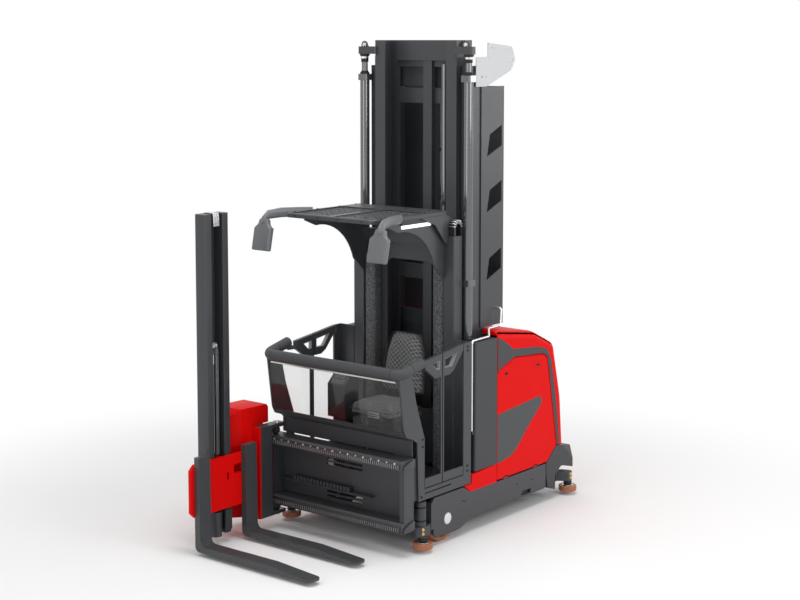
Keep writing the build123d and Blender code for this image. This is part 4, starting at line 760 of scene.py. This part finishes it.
# A hooked steel plate is bolted to the left end of each rack and stops the head's rollers. Plated
# screws, large and small by turns, hold the upper rack.
stop_x = 0.6705
rack_stops = bmesh.new()
for low, high in ((0.198, 0.262), (0.672, 0.728)):
    hook_line = [
        (-0.250, low), (-0.250, low + 0.022), (-0.205, high - 0.012), (-0.140, high + 0.010),
        (-0.125, high + 0.010), (-0.125, low + 0.012), (-0.165, low),
    ]
    plate(rack_stops, [(stop_x, y, z) for y, z in hook_line], (0.014, 0, 0))
assemble("rack_end_stops", rack_stops, anthracite, "cab", rounding=0.0015, steps=2)
screw_pitch = 0.075
rack_screws = bmesh.new()
for row in range(17):
    x = -0.60 + screw_pitch * row
    socket_screw(rack_screws, (x, -0.2583, 0.716), forward, 0.006 if row % 2 else 0.008)
assemble("rack_screws", rack_screws, plated_screw, "cab", rounding=0)

# Plated bolt heads show above and below the head's bracket. They carry the rollers that hang it on
# the racks.
bracket_bolts = bmesh.new()
for x in (-0.655, -0.625):
    for z, way in ((0.828, 1), (0.108, -1)):
        hex_bolt(bracket_bolts, (x, -0.200, z), (0, 0, way), 0.011)
assemble("bracket_bolts", bracket_bolts, plated_screw, "head", rounding=0.0008)

# The cloth and foam of the cab are speckled: a dark ground with paler flecks, over a fine pile.
# The seat's back has a check as well, made by two crossing waves.
speckle = bpy.data.node_groups.new("speckled_pile", "ShaderNodeTree")
group_sockets(
    speckle,
    inputs=(
        ("Ground", "colour", (0.03, 0.03, 0.03, 1)), ("Fleck", "colour", (0.2, 0.2, 0.2, 1)),
        ("Fleck Scale", "number", 110.0), ("Fleck Edge", "number", 0.62),
        ("Check Size", "number", 125.0), ("Check Strength", "number", 0.0)),
    outputs=(("Color", "colour"), ("Height", "number")))
pile_in = add_node(speckle, "NodeGroupInput", (-8, 0))
pile_out = add_node(speckle, "NodeGroupOutput", (4, 0))
pile_spot = add_node(speckle, "ShaderNodeTexCoord", (-8, 3))
pile_fleck = add_node(speckle, "ShaderNodeTexNoise", (-6, 1))
pile_fleck.inputs["Detail"].default_value = 2.0
pile_step = add_node(speckle, "ShaderNodeMapRange", (-4, 1), interpolation_type="SMOOTHSTEP")
pile_step.inputs["From Min"].default_value = 0.42
pile_fine = add_node(speckle, "ShaderNodeTexNoise", (-6, 3))
pile_fine.inputs["Scale"].default_value = 900.0
pile_axes = add_node(speckle, "ShaderNodeSeparateXYZ", (-7, 5))
pile_up = add_node(speckle, "ShaderNodeMath", (-6, 5), operation="ADD")
pile_rise = add_node(speckle, "ShaderNodeMath", (-5, 5), operation="ADD")
pile_fall = add_node(speckle, "ShaderNodeMath", (-5, 6), operation="SUBTRACT")
pile_rise_scale = add_node(speckle, "ShaderNodeMath", (-4, 5), operation="MULTIPLY")
pile_fall_scale = add_node(speckle, "ShaderNodeMath", (-4, 6), operation="MULTIPLY")
pile_rise_wave = add_node(speckle, "ShaderNodeMath", (-3, 5), operation="SINE")
pile_fall_wave = add_node(speckle, "ShaderNodeMath", (-3, 6), operation="SINE")
pile_cross = add_node(speckle, "ShaderNodeMath", (-2, 5), operation="MAXIMUM")
pile_thread = add_node(speckle, "ShaderNodeMapRange", (-1, 5))
set_sockets(pile_thread, {"From Min": 0.55, "From Max": 1.0})
pile_check = add_node(speckle, "ShaderNodeMath", (0, 5), operation="MULTIPLY")
pile_both = add_node(speckle, "ShaderNodeMath", (1, 3), operation="MAXIMUM")
pile_colour = add_node(speckle, "ShaderNodeMix", (2, 0), data_type="RGBA")
pile_height = add_node(speckle, "ShaderNodeMath", (2, 3), operation="ADD")
for start, end in [
    (pile_spot.outputs["Object"], pile_fleck.inputs["Vector"]),
    (pile_in.outputs["Fleck Scale"], pile_fleck.inputs["Scale"]),
    (pile_fleck.outputs["Fac"], pile_step.inputs["Value"]),
    (pile_in.outputs["Fleck Edge"], pile_step.inputs["From Max"]),
    (pile_spot.outputs["Object"], pile_fine.inputs["Vector"]),
    (pile_spot.outputs["Object"], pile_axes.inputs[0]),
    (pile_axes.outputs["Y"], pile_up.inputs[0]), (pile_axes.outputs["Z"], pile_up.inputs[1]),
    (pile_axes.outputs["X"], pile_rise.inputs[0]), (pile_up.outputs[0], pile_rise.inputs[1]),
    (pile_axes.outputs["X"], pile_fall.inputs[0]), (pile_up.outputs[0], pile_fall.inputs[1]),
    (pile_rise.outputs[0], pile_rise_scale.inputs[0]),
    (pile_in.outputs["Check Size"], pile_rise_scale.inputs[1]),
    (pile_fall.outputs[0], pile_fall_scale.inputs[0]),
    (pile_in.outputs["Check Size"], pile_fall_scale.inputs[1]),
    (pile_rise_scale.outputs[0], pile_rise_wave.inputs[0]),
    (pile_fall_scale.outputs[0], pile_fall_wave.inputs[0]),
    (pile_rise_wave.outputs[0], pile_cross.inputs[0]),
    (pile_fall_wave.outputs[0], pile_cross.inputs[1]),
    (pile_cross.outputs[0], pile_thread.inputs["Value"]),
    (pile_thread.outputs["Result"], pile_check.inputs[0]),
    (pile_in.outputs["Check Strength"], pile_check.inputs[1]),
    (pile_step.outputs["Result"], pile_both.inputs[0]), (pile_check.outputs[0], pile_both.inputs[1]),
    (pile_both.outputs[0], pile_colour.inputs[0]),
    (pile_in.outputs["Ground"], pile_colour.inputs[colour_a]),
    (pile_in.outputs["Fleck"], pile_colour.inputs[colour_b]),
    (pile_both.outputs[0], pile_height.inputs[0]), (pile_fine.outputs["Fac"], pile_height.inputs[1]),
    (pile_colour.outputs[colour_result], pile_out.inputs["Color"]),
    (pile_height.outputs[0], pile_out.inputs["Height"]),
]:
    speckle.links.new(start, end)


def speckled(name, ground, fleck, scale, edge, roughness, depth, check=150, strength=0.0, sheen=0.0):
    material = new_material(name, {"Roughness": roughness, "Sheen Weight": sheen})
    tree = material.node_tree
    group = add_node(tree, "ShaderNodeGroup", (-3, 0), node_tree=speckle)
    set_sockets(group, {
        "Ground": (*ground, 1), "Fleck": (*fleck, 1), "Fleck Scale": scale, "Fleck Edge": edge,
        "Check Size": check, "Check Strength": strength})
    bump = add_node(tree, "ShaderNodeBump", (-1, 1))
    set_sockets(bump, {"Distance": depth, "Strength": 0.8})
    tree.links.new(group.outputs["Color"], shader_of(material).inputs["Base Color"])
    tree.links.new(group.outputs["Height"], bump.inputs["Height"])
    tree.links.new(bump.outputs["Normal"], shader_of(material).inputs["Normal"])
    return material


# The seat's cushion and back are foam under sewn cloth, with a piped edge. A pressure run blows
# each one up a little, so that it crowns between its seams. The back's cloth has a woven check.
voxel = 0.006
blow_steps = 20
piping_radius = 0.0035


def swollen(name, shape, most, still):
    mesh = bpy.data.meshes.new(name)
    shape.to_mesh(mesh)
    shape.free()
    pad = new_object(name, mesh)
    remesh = pad.modifiers.new("remesh", "REMESH")
    remesh.mode = "VOXEL"
    remesh.voxel_size = voxel
    graph = bpy.context.evaluated_depsgraph_get()
    even = bpy.data.meshes.new_from_object(pad.evaluated_get(graph))
    pad.modifiers.clear()
    pad.data = even
    begin = [vertex.co.copy() for vertex in even.vertices]
    held = pad.vertex_groups.new(name="held")
    held.add([i for i, place in enumerate(begin) if still(place)], 1.0, "REPLACE")
    cloth = pad.modifiers.new("cloth", "CLOTH")
    cloth.settings.use_pressure = True
    cloth.settings.uniform_pressure_force = 4.0
    cloth.settings.vertex_group_mass = "held"
    cloth.settings.effector_weights.gravity = 0.0
    for step in range(1, blow_steps + 1):
        bpy.context.scene.frame_set(step)
    graph = bpy.context.evaluated_depsgraph_get()
    blown = bpy.data.meshes.new_from_object(pad.evaluated_get(graph))
    pad.modifiers.clear()
    bpy.context.scene.frame_set(1)
    for vertex, place in zip(blown.vertices, begin):
        move = vertex.co - place
        if move.length > most:
            vertex.co = place + move * (most / move.length)
    pad.data = blown
    return pad


def sewn(pad, dents):
    mesh = pad.data
    normals = [vertex.normal.copy() for vertex in mesh.vertices]
    for vertex, normal in zip(mesh.vertices, normals):
        for away, depth, width in dents:
            vertex.co -= normal * depth * math.exp(-(away(vertex.co) / width) ** 2)
    smooth = bmesh.new()
    smooth.from_mesh(mesh)
    for _ in range(2):
        bmesh.ops.smooth_vert(
            smooth, verts=smooth.verts[:], factor=0.4, use_axis_x=True, use_axis_y=True,
            use_axis_z=True)
    smooth.to_mesh(mesh)
    smooth.free()
    mesh.shade_smooth()
    finer = pad.modifiers.new("finer", "SUBSURF")
    finer.levels = finer.render_levels = 1


def piping(name, points, material, body):
    line = bpy.data.curves.new(name, "CURVE")
    line.dimensions = "3D"
    line.bevel_depth = piping_radius
    line.bevel_resolution = 3
    run = line.splines.new("NURBS")
    run.points.add(len(points) - 1)
    for point, place in zip(run.points, points):
        point.co = (*place, 1)
    run.use_cyclic_u = True
    run.order_u = 3
    thread = new_object(name + "_line", line)
    graph = bpy.context.evaluated_depsgraph_get()
    mesh = bpy.data.meshes.new_from_object(thread.evaluated_get(graph))
    bpy.data.objects.remove(thread)
    mesh.materials.clear()
    mesh.materials.append(material)
    mesh.shade_smooth()
    piece = new_object(name, mesh)
    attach(piece, body)


seat_cloth = speckled(
    "seat_cloth", ground=(0.055, 0.057, 0.060), fleck=(0.21, 0.215, 0.22), scale=240, edge=0.66,
    roughness=0.88, depth=0.0012, sheen=0.1)
back_cloth = speckled(
    "back_cloth", ground=(0.020, 0.021, 0.023), fleck=(0.30, 0.305, 0.31), scale=300, edge=0.8,
    roughness=0.85, depth=0.0022, strength=0.8, sheen=0.1)
piping_cord = skinned(
    "seat_piping", colour=(0.028, 0.028, 0.030), edge=(0.08, 0.08, 0.08), wear_and_highlight=0.3,
    roughness=0.6, grain=1500, depth=0.5, tone=0.1)

seat_x = 0.080
most_swell = 0.022
far_off = 1.0
welt_x = 0.135
cushion_shape = bmesh.new()
block(cushion_shape, (-0.132, 0.086, 0.934), (0.292, 0.454, 1.008))
upright = [edge for edge in cushion_shape.edges
           if abs(edge.verts[0].co.z - edge.verts[1].co.z) > 0.05]
round_edges(cushion_shape, upright, 0.060, 6)
top_edges = [edge for edge in cushion_shape.edges if min(v.co.z for v in edge.verts) > 1.0]
round_edges(cushion_shape, top_edges, 0.020, 3)
cushion = swollen("cushion_pad", cushion_shape, most_swell, lambda place: place.z < 0.940)


def from_side_welts(place):
    return abs(abs(place.x - seat_x) - welt_x) if place.z > 0.98 else far_off


def from_cross_welt(place):
    between = place.z > 0.98 and abs(place.x - seat_x) < welt_x
    return abs(place.y - 0.300) if between else far_off


sewn(cushion, [(from_side_welts, 0.008, 0.007), (from_cross_welt, 0.006, 0.006)])
cushion.data.materials.clear()
cushion.data.materials.append(seat_cloth)
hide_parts("seat_cushion")
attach(cushion, "cab")
cushion_edge = [
    (-0.140, 0.150), (-0.140, 0.100), (-0.090, 0.0785), (0.080, 0.0745), (0.250, 0.0785),
    (0.300, 0.100), (0.300, 0.150), (0.3035, 0.270), (0.300, 0.390), (0.300, 0.440),
    (0.250, 0.4615), (0.080, 0.4655), (-0.090, 0.4615), (-0.140, 0.440), (-0.140, 0.390),
    (-0.1435, 0.270),
]
piping("cushion_piping", [(x, y, 0.972) for x, y in cushion_edge], piping_cord, "cab")

back_turn = Matrix((
    (1, 0, 0, seat_x),
    (0, 0.1289, -0.9917, 0.430),
    (0, 0.9917, 0.1289, 1.045),
    (0, 0, 0, 1),
))
back_outline = [
    (-0.198, 0.020), (0.198, 0.020), (0.174, 0.325), (0.126, 0.474), (-0.126, 0.474),
    (-0.174, 0.325),
]
back_shape = bmesh.new()
plate(back_shape, [(x, up, -0.066) for x, up in back_outline], (0, 0, 0.052))
corners = [edge for edge in back_shape.edges
           if abs(edge.verts[0].co.z - edge.verts[1].co.z) > 0.04]
round_edges(back_shape, corners, 0.045, 5)
front_edges = [edge for edge in back_shape.edges if min(v.co.z for v in edge.verts) > -0.020]
round_edges(back_shape, front_edges, 0.014, 3)
bmesh.ops.recalc_face_normals(back_shape, faces=back_shape.faces[:])
bmesh.ops.transform(back_shape, matrix=back_turn, verts=back_shape.verts[:])
into_back = back_turn.inverted()
backrest = swollen(
    "backrest_pad", back_shape, most_swell, lambda place: (into_back @ place).z < -0.060)


def on_back(place):
    spot = into_back @ place
    return spot if spot.z > -0.03 else Vector((9, 9, 0))


def from_back_sides(place):
    return abs(abs(on_back(place).x) - 0.115)


def from_back_cross(place):
    spot = on_back(place)
    return abs(spot.y - 0.190) if abs(spot.x) < 0.115 else far_off


sewn(backrest, [(from_back_sides, 0.007, 0.006), (from_back_cross, 0.006, 0.006)])
backrest.data.materials.clear()
backrest.data.materials.append(back_cloth)
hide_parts("seat_back")
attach(backrest, "cab")
back_edge = [
    (-0.150, 0.010), (0, 0.008), (0.150, 0.010), (0.205, 0.022), (0.204, 0.080), (0.193, 0.200),
    (0.182, 0.320), (0.150, 0.430), (0.120, 0.480), (0, 0.484), (-0.120, 0.480), (-0.150, 0.430),
    (-0.182, 0.320), (-0.193, 0.200), (-0.204, 0.080), (-0.205, 0.022),
]
piping("backrest_piping", [back_turn @ Vector((x, up, -0.040)) for x, up in back_edge],
       piping_cord, "cab")
back_shell = bmesh.new()
plate(back_shell, [(x, up, -0.0795) for x, up in back_outline], (0, 0, 0.012))
bmesh.ops.transform(back_shell, matrix=back_turn, verts=back_shell.verts[:])
assemble("backrest_shell", back_shell, moulded, "cab", rounding=0.004, steps=2)

# A latch with three bright plated bars slides the cushion. Its moulded case hangs at the cushion's
# front edge.
slide_latch = bmesh.new()
for level in (0.931, 0.947, 0.963):
    block(slide_latch, (0.085, 0.048, level), (0.200, 0.066, level + 0.010))
assemble("seat_slide_bars", slide_latch, plated_screw, "cab", rounding=0.003, steps=2)
slide_case = bmesh.new()
block(slide_case, (0.078, 0.054, 0.905), (0.207, 0.069, 0.975))
block(slide_case, (0.100, 0.060, 0.896), (0.185, 0.150, 0.910))
assemble("seat_slide_case", slide_case, moulded, "cab", rounding=0.003, steps=2)

# The pads on the rear posts are foam with a pitted, speckled skin, crowned a little towards the
# driver and glued to the posts.
pad_skin = speckled(
    "pad_skin", ground=(0.040, 0.042, 0.045), fleck=(0.17, 0.175, 0.18), scale=130, edge=0.62,
    roughness=0.6, depth=0.0025)
post_x = 0.342
pad_reach = 0.0515
pad_crown = 0.014
pad_bulge = 0.006
post_pad_shape = bmesh.new()
for side in (-1, 1):
    block(post_pad_shape, (side * post_x - pad_reach, 0.5885, 0.4625),
          (side * post_x + pad_reach, 0.6855, 2.1015))
bmesh.ops.subdivide_edges(
    post_pad_shape, edges=post_pad_shape.edges[:], cuts=11, use_grid_fill=True)
for vertex in post_pad_shape.verts:
    outward = abs(vertex.co.x) - post_x
    if vertex.co.y < 0.62:
        vertex.co.y += pad_crown * (abs(outward) / pad_reach) ** 4
    if abs(outward) > 0.05:
        deep = abs(vertex.co.y - 0.637) / 0.0485
        vertex.co.x -= math.copysign(pad_bulge * deep ** 4, outward * vertex.co.x)
post_foam = assemble("post_foam", post_pad_shape, pad_skin, "cab", rounding=0)
post_foam.data.shade_smooth()
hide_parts("post_pads")
finish_nodes(pad_skin, "post_pads")

# The console's sloping top has a blank screen of dark glass, two rows of moulded keys, a grip with
# a plated cap and a key switch.
screen_glass = new_material(
    "screen_glass", {"Base Color": (0.01, 0.011, 0.013, 1), "Roughness": 0.06, "Coat Weight": 0.6})
slope_turn = Matrix.Translation((-0.265, 0.135, 1.1725)) @ Matrix.Rotation(
    math.atan2(0.085, 0.090), 4, "X")
screen = bmesh.new()
block(screen, (-0.060, -0.005, 0.0002), (0.060, 0.050, 0.003))
bmesh.ops.transform(screen, matrix=slope_turn, verts=screen.verts[:])
assemble("console_screen", screen, screen_glass, "cab", rounding=0.001)
key_pitch = (0.022, 0.020)
keys = bmesh.new()
for row in range(2):
    for column in range(6):
        x = -0.062 + key_pitch[0] * column
        y = -0.048 + key_pitch[1] * row
        block(keys, (x, y, 0.0002), (x + 0.015, y + 0.013, 0.0035))
bmesh.ops.transform(keys, matrix=slope_turn, verts=keys.verts[:])
turned(keys, (-0.210, 0.240, 1.2155), upward, 0.011, 0.010)
turned(keys, (-0.320, 0.250, 1.2155), upward, 0.019, 0.006)
assemble("console_keys", keys, mirror_shell, "cab", rounding=0.0012)
grip_x = -0.265
grip_y = 0.230
grip = bmesh.new()
turned(grip, (grip_x, grip_y, 1.2152), upward, 0.030, 0.012, tip=0.018)
turned(grip, (grip_x, grip_y, 1.227), upward, 0.010, 0.028)
bmesh.ops.create_uvsphere(
    grip, u_segments=24, v_segments=12, radius=0.023,
    matrix=Matrix.Translation((grip_x, grip_y, 1.266)) @ Matrix.Diagonal((1.5, 1.0, 0.7, 1)))
assemble("console_grip", grip, black_screw, "cab", rounding=0)
grip_cap = bmesh.new()
turned(grip_cap, (grip_x, grip_y, 1.281), upward, 0.016, 0.004, tip=0.013)
assemble("console_grip_cap", grip_cap, plated_screw, "cab", rounding=0.001)

# The cab's floor is covered by a glued rubber mat. Raised ribs run front to back under the
# driver's feet.
rib_pitch = 0.032
rib_width = 0.014
mat = bmesh.new()
block(mat, (-0.600, -0.020, 0.4602), (0.600, 0.575, 0.4635))
for rib in range(38):
    x = -0.592 + rib_pitch * rib
    block(mat, (x, -0.012, 0.4634), (x + rib_width, 0.190, 0.4655))
assemble("floor_mat", mat, hose_rubber, "cab", rounding=0)

# Two arched gussets of sheet steel carry the roof from the rear posts. Clear panes lie in the
# roof's frame under the grilles' bars.
arch_centre = Vector((0.0559, 1.9487))
arch_radius = 0.4288
arch_line = [(0.592, 1.960), (0.592, 2.466), (-0.120, 2.466), (-0.110, 2.425)]
for degree in range(95, 15, -6):
    angle = math.radians(degree)
    arch_line.append((
        arch_centre.x + arch_radius * math.cos(angle), arch_centre.y + arch_radius * math.sin(angle)))
gussets = bmesh.new()
for side in (-1, 1):
    plate(gussets, [(side * 0.400, y, z) for y, z in arch_line], (side * 0.012, 0, 0))
assemble("roof_gussets", gussets, anthracite, "cab", rounding=0.0015)
pane_x = 0.214
pane_reach = 0.187
roof_panes = bmesh.new()
for side in (-1, 1):
    block(roof_panes, (side * pane_x - pane_reach, -0.271, 2.4700),
          (side * pane_x + pane_reach, 0.339, 2.4750))
assemble("roof_panes", roof_panes, window_glass, "cab", rounding=0)

# Each grille is cut from one thin sheet, in seven rows of eleven square holes. It lies on the
# roof's frame over the panes.
hole_pitch = 0.053
bar_width = 0.010
hole_rows = 7
holes_in_row = 11
grilles = bmesh.new()
for side in (-1, 1):
    bmesh.ops.create_grid(
        grilles, x_segments=hole_rows, y_segments=holes_in_row, size=1,
        matrix=Matrix.Translation((side * pane_x, 0.034, 2.486))
        @ Matrix.Diagonal((hole_rows / 2 * hole_pitch, holes_in_row / 2 * hole_pitch, 1, 1)))
holes = grilles.faces[:]
bmesh.ops.inset_individual(grilles, faces=holes, thickness=bar_width / 2)
bmesh.ops.delete(grilles, geom=holes, context="FACES")
thicken(grilles, grilles.faces[:], (0, 0, 0.005))
roof_sheets = assemble("roof_sheets", grilles, grille_glint_coat, "cab", rounding=0)
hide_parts("roof_grille")

# A dark moulded band is clipped on round each door on the hood's flanks. It comes in two lengths
# with a seam between them.
band_lengths = (
    [(0.966, 1.480), (1.020, 1.456), (1.112, 1.405), (1.170, 1.358), (1.510, 1.327), (1.510, 1.267),
     (1.200, 1.292), (1.003, 1.229), (0.966, 1.202)],
    [(1.514, 1.3265), (1.655, 1.290), (1.722, 1.195), (1.804, 0.825), (1.860, 0.452),
     (1.822, 0.462), (1.671, 1.222), (1.604, 1.259), (1.514, 1.266)],
)
bands = bmesh.new()
for side in (-1, 1):
    for line in band_lengths:
        plate(bands, [(side * 0.6586, y, z) for y, z in line], (side * 0.0018, 0, 0))
assemble("hood_bands", bands, moulded, "chassis", rounding=0.0004)

# A thin wall closes the mast's back, and a panel stands between its channels before the hood. A
# sheet lines the right side plate, and two clamped pipes run up along the wall.
mast_lining = bmesh.new()
block(mast_lining, (-0.489, 1.2320, 1.545), (0.489, 1.2390, 3.438))
block(mast_lining, (-0.470, 1.0060, 0.340), (0.470, 1.0125, 1.560))
block(mast_lining, (-0.489, 1.0160, 1.560), (-0.481, 1.2300, 3.420))
assemble("mast_lining", mast_lining, anthracite, "chassis", rounding=0.001)
mast_pipes = bmesh.new()
for x in (-0.105, -0.065):
    turned(mast_pipes, (x, 1.2250, 1.570), upward, 0.0075, 1.840)
for step in range(5):
    low = 1.700 + 0.40 * step
    block(mast_pipes, (-0.125, 1.2150, low), (-0.045, 1.2325, low + 0.025))
assemble("mast_pipes", mast_pipes, tube_paint, "chassis", rounding=0.001)

# The inner mast's crosshead has a deeper lip behind the carriage's path. Two welded eyes hold the
# lift rods' heads, and a grooved sheave sits on a stub beside each channel.
sheave_y = 0.855
sheave_z = 3.744
mast_heads = bmesh.new()
block(mast_heads, (-0.304, 0.9265, 3.590), (0.304, 0.9435, 3.642))
for side in (-1, 1):
    turned(mast_heads, (side * eye_x, 0.728, eye_z), (0, 1, 0), 0.032, 0.010, sides=32)
    block(mast_heads, (side * 0.488 - 0.022, 0.728, 3.720), (side * 0.488 + 0.022, 0.738, 3.760))
    for start, radius, width in ((0.408, 0.052, 0.006), (0.414, 0.044, 0.014), (0.428, 0.052, 0.006)):
        turned(mast_heads, (side * start, sheave_y, sheave_z), (side, 0, 0), radius, width, sides=40)
    turned(mast_heads, (side * 0.403, sheave_y, sheave_z), (side, 0, 0), 0.016, 0.050)
assemble("mast_heads", mast_heads, anthracite, "inner_mast", rounding=0.0015)

# Bright steel ribs sit on the cable carrier's links where the hoses bend over the left post. They
# are a painted highlight that stands in for glints on the glossy black links.
bend_y = 0.648
bend_z = 2.366
bend_radius = 0.046
rib_turn = 22.5
carrier_glint_ribs = bmesh.new()
for rib in range(8):
    angle = math.radians(168.75 - rib * rib_turn)
    place = (0.475, bend_y + bend_radius * math.cos(angle), bend_z + bend_radius * math.sin(angle))
    bmesh.ops.create_cube(
        carrier_glint_ribs, size=1,
        matrix=Matrix.Translation(place) @ Matrix.Rotation(angle, 4, "X")
        @ Matrix.Diagonal((0.054, 0.028, 0.007, 1)))
assemble("carrier_glint_ribs", carrier_glint_ribs, turned_steel, "cab", rounding=0.0015, steps=2)

# The racks are milled. A pale plate on every tooth's face is a painted highlight. A bolted cover
# of sheet steel closes the opening at the frame's right end.
tooth_pitch = 0.020
tooth_reach = 0.0042
teeth_each_side = 32
rack_teeth = bmesh.new()
for low in (0.195, 0.668):
    for step in range(-teeth_each_side, teeth_each_side):
        x = tooth_pitch * (step + 0.5)
        block(rack_teeth, (x - tooth_reach, -0.2600, low + 0.010),
              (x + tooth_reach, -0.2582, low + 0.038))
tooth_highlight = skinned(
    "tooth_highlight", colour=(0.26, 0.265, 0.27), edge=(0.7, 0.7, 0.7), wear_and_highlight=0.9,
    roughness=0.3, grain=900, depth=0.3, tone=0.25, metal=0.6)
assemble("rack_teeth", rack_teeth, tooth_highlight, "cab", rounding=0.0005)
frame_cover = bmesh.new()
block(frame_cover, (-0.606, -0.1265, 0.405), (-0.474, -0.1222, 0.655))
for x in (-0.594, -0.486):
    for z in (0.418, 0.642):
        socket_screw(frame_cover, (x, -0.1265, z), forward, 0.006)
assemble("traverse_cover", frame_cover, anthracite, "cab", rounding=0.001)

# The thrust head's housing is one welded red box that reaches back over the racks. Its front left
# corner is cut off, a strip covers the bracket, and three arms hold the swivel pin.
housing_line = [
    (-0.300, 0.140), (-0.300, 0.834), (-0.240, 0.834), (-0.240, 0.955), (-0.260, 0.979),
    (-0.550, 0.985), (-0.620, 0.930), (-0.620, 0.140),
]
swivel_x = -0.800
swivel_y = -0.815
housing = bmesh.new()
plate(housing, [(-0.930, y, z) for y, z in housing_line], (0.248, 0, 0))
bmesh.ops.bisect_plane(
    housing, geom=housing.verts[:] + housing.edges[:] + housing.faces[:],
    plane_co=(-0.682, -0.548, 0), plane_no=(0.072, -0.055, 0), clear_outer=True)
bmesh.ops.holes_fill(housing, edges=[edge for edge in housing.edges if edge.is_boundary], sides=0)
bmesh.ops.recalc_face_normals(housing, faces=housing.faces[:])
round_edges(housing, [edge for edge in housing.edges if edge.calc_face_angle() > 0.3], 0.012, 3)
block(housing, (-0.690, -0.426, 0.108), (-0.600, -0.411, 0.828))
for low, high in ((0.190, 0.250), (0.560, 0.620), (0.820, 0.880)):
    turned(housing, (swivel_x, swivel_y, low), upward, 0.040, high - low, sides=40)
    block(housing, (swivel_x - 0.0395, swivel_y, low), (swivel_x + 0.0395, -0.612, high))
turned(housing, (swivel_x, swivel_y, 0.180), upward, 0.016, 0.710)
head_box = assemble("head_box", housing, red_gloss, "head", rounding=0.0015)
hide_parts("head_housing")

# The auxiliary mast is a rolled channel open to the left. It has three knuckles on the swivel pin,
# a bright end stop at its top, and the cylinder's socket with a slotted plate at its foot.
channel_line = [
    (-0.645, -0.940), (-0.645, -0.872), (-0.740, -0.872), (-0.740, -0.758), (-0.645, -0.758),
    (-0.645, -0.690), (-0.755, -0.690), (-0.755, -0.940),
]
channel = bmesh.new()
plate(channel, [(x, y, 0.075) for x, y in channel_line], (0, 0, 2.445))
outer_corners = [
    edge for edge in channel.edges
    if all(abs(v.co.y - swivel_y) > 0.12 for v in edge.verts)
    and abs(edge.verts[0].co.z - edge.verts[1].co.z) > 1
]
bmesh.ops.recalc_face_normals(channel, faces=channel.faces[:])
round_edges(channel, outer_corners, 0.016, 5)
for low, high in ((0.251, 0.311), (0.499, 0.559), (0.881, 0.941)):
    turned(channel, (swivel_x, swivel_y, low), upward, 0.0398, high - low, sides=40)
    block(channel, (swivel_x, swivel_y - 0.0395, low), (-0.748, swivel_y + 0.0395, high))
turned(channel, (-0.666, -0.836, 0.067), upward, 0.042, 0.190, sides=40)
block(channel, (-0.647, -0.769, 0.100), (-0.633, -0.699, 0.260))
aux_channel = assemble("aux_channel", channel, anthracite, "auxiliary_mast", rounding=0.0015)
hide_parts("aux_mast")
stop_line = [
    (-0.747, 2.521), (-0.747, 2.526), (-0.653, 2.526), (-0.646, 2.425), (-0.653, 2.425),
    (-0.661, 2.521),
]
end_stop = bmesh.new()
plate(end_stop, [(x, -0.785, z) for x, z in stop_line], (0, -0.060, 0))
assemble("aux_end_stop", end_stop, turned_steel, "auxiliary_mast", rounding=0.001)
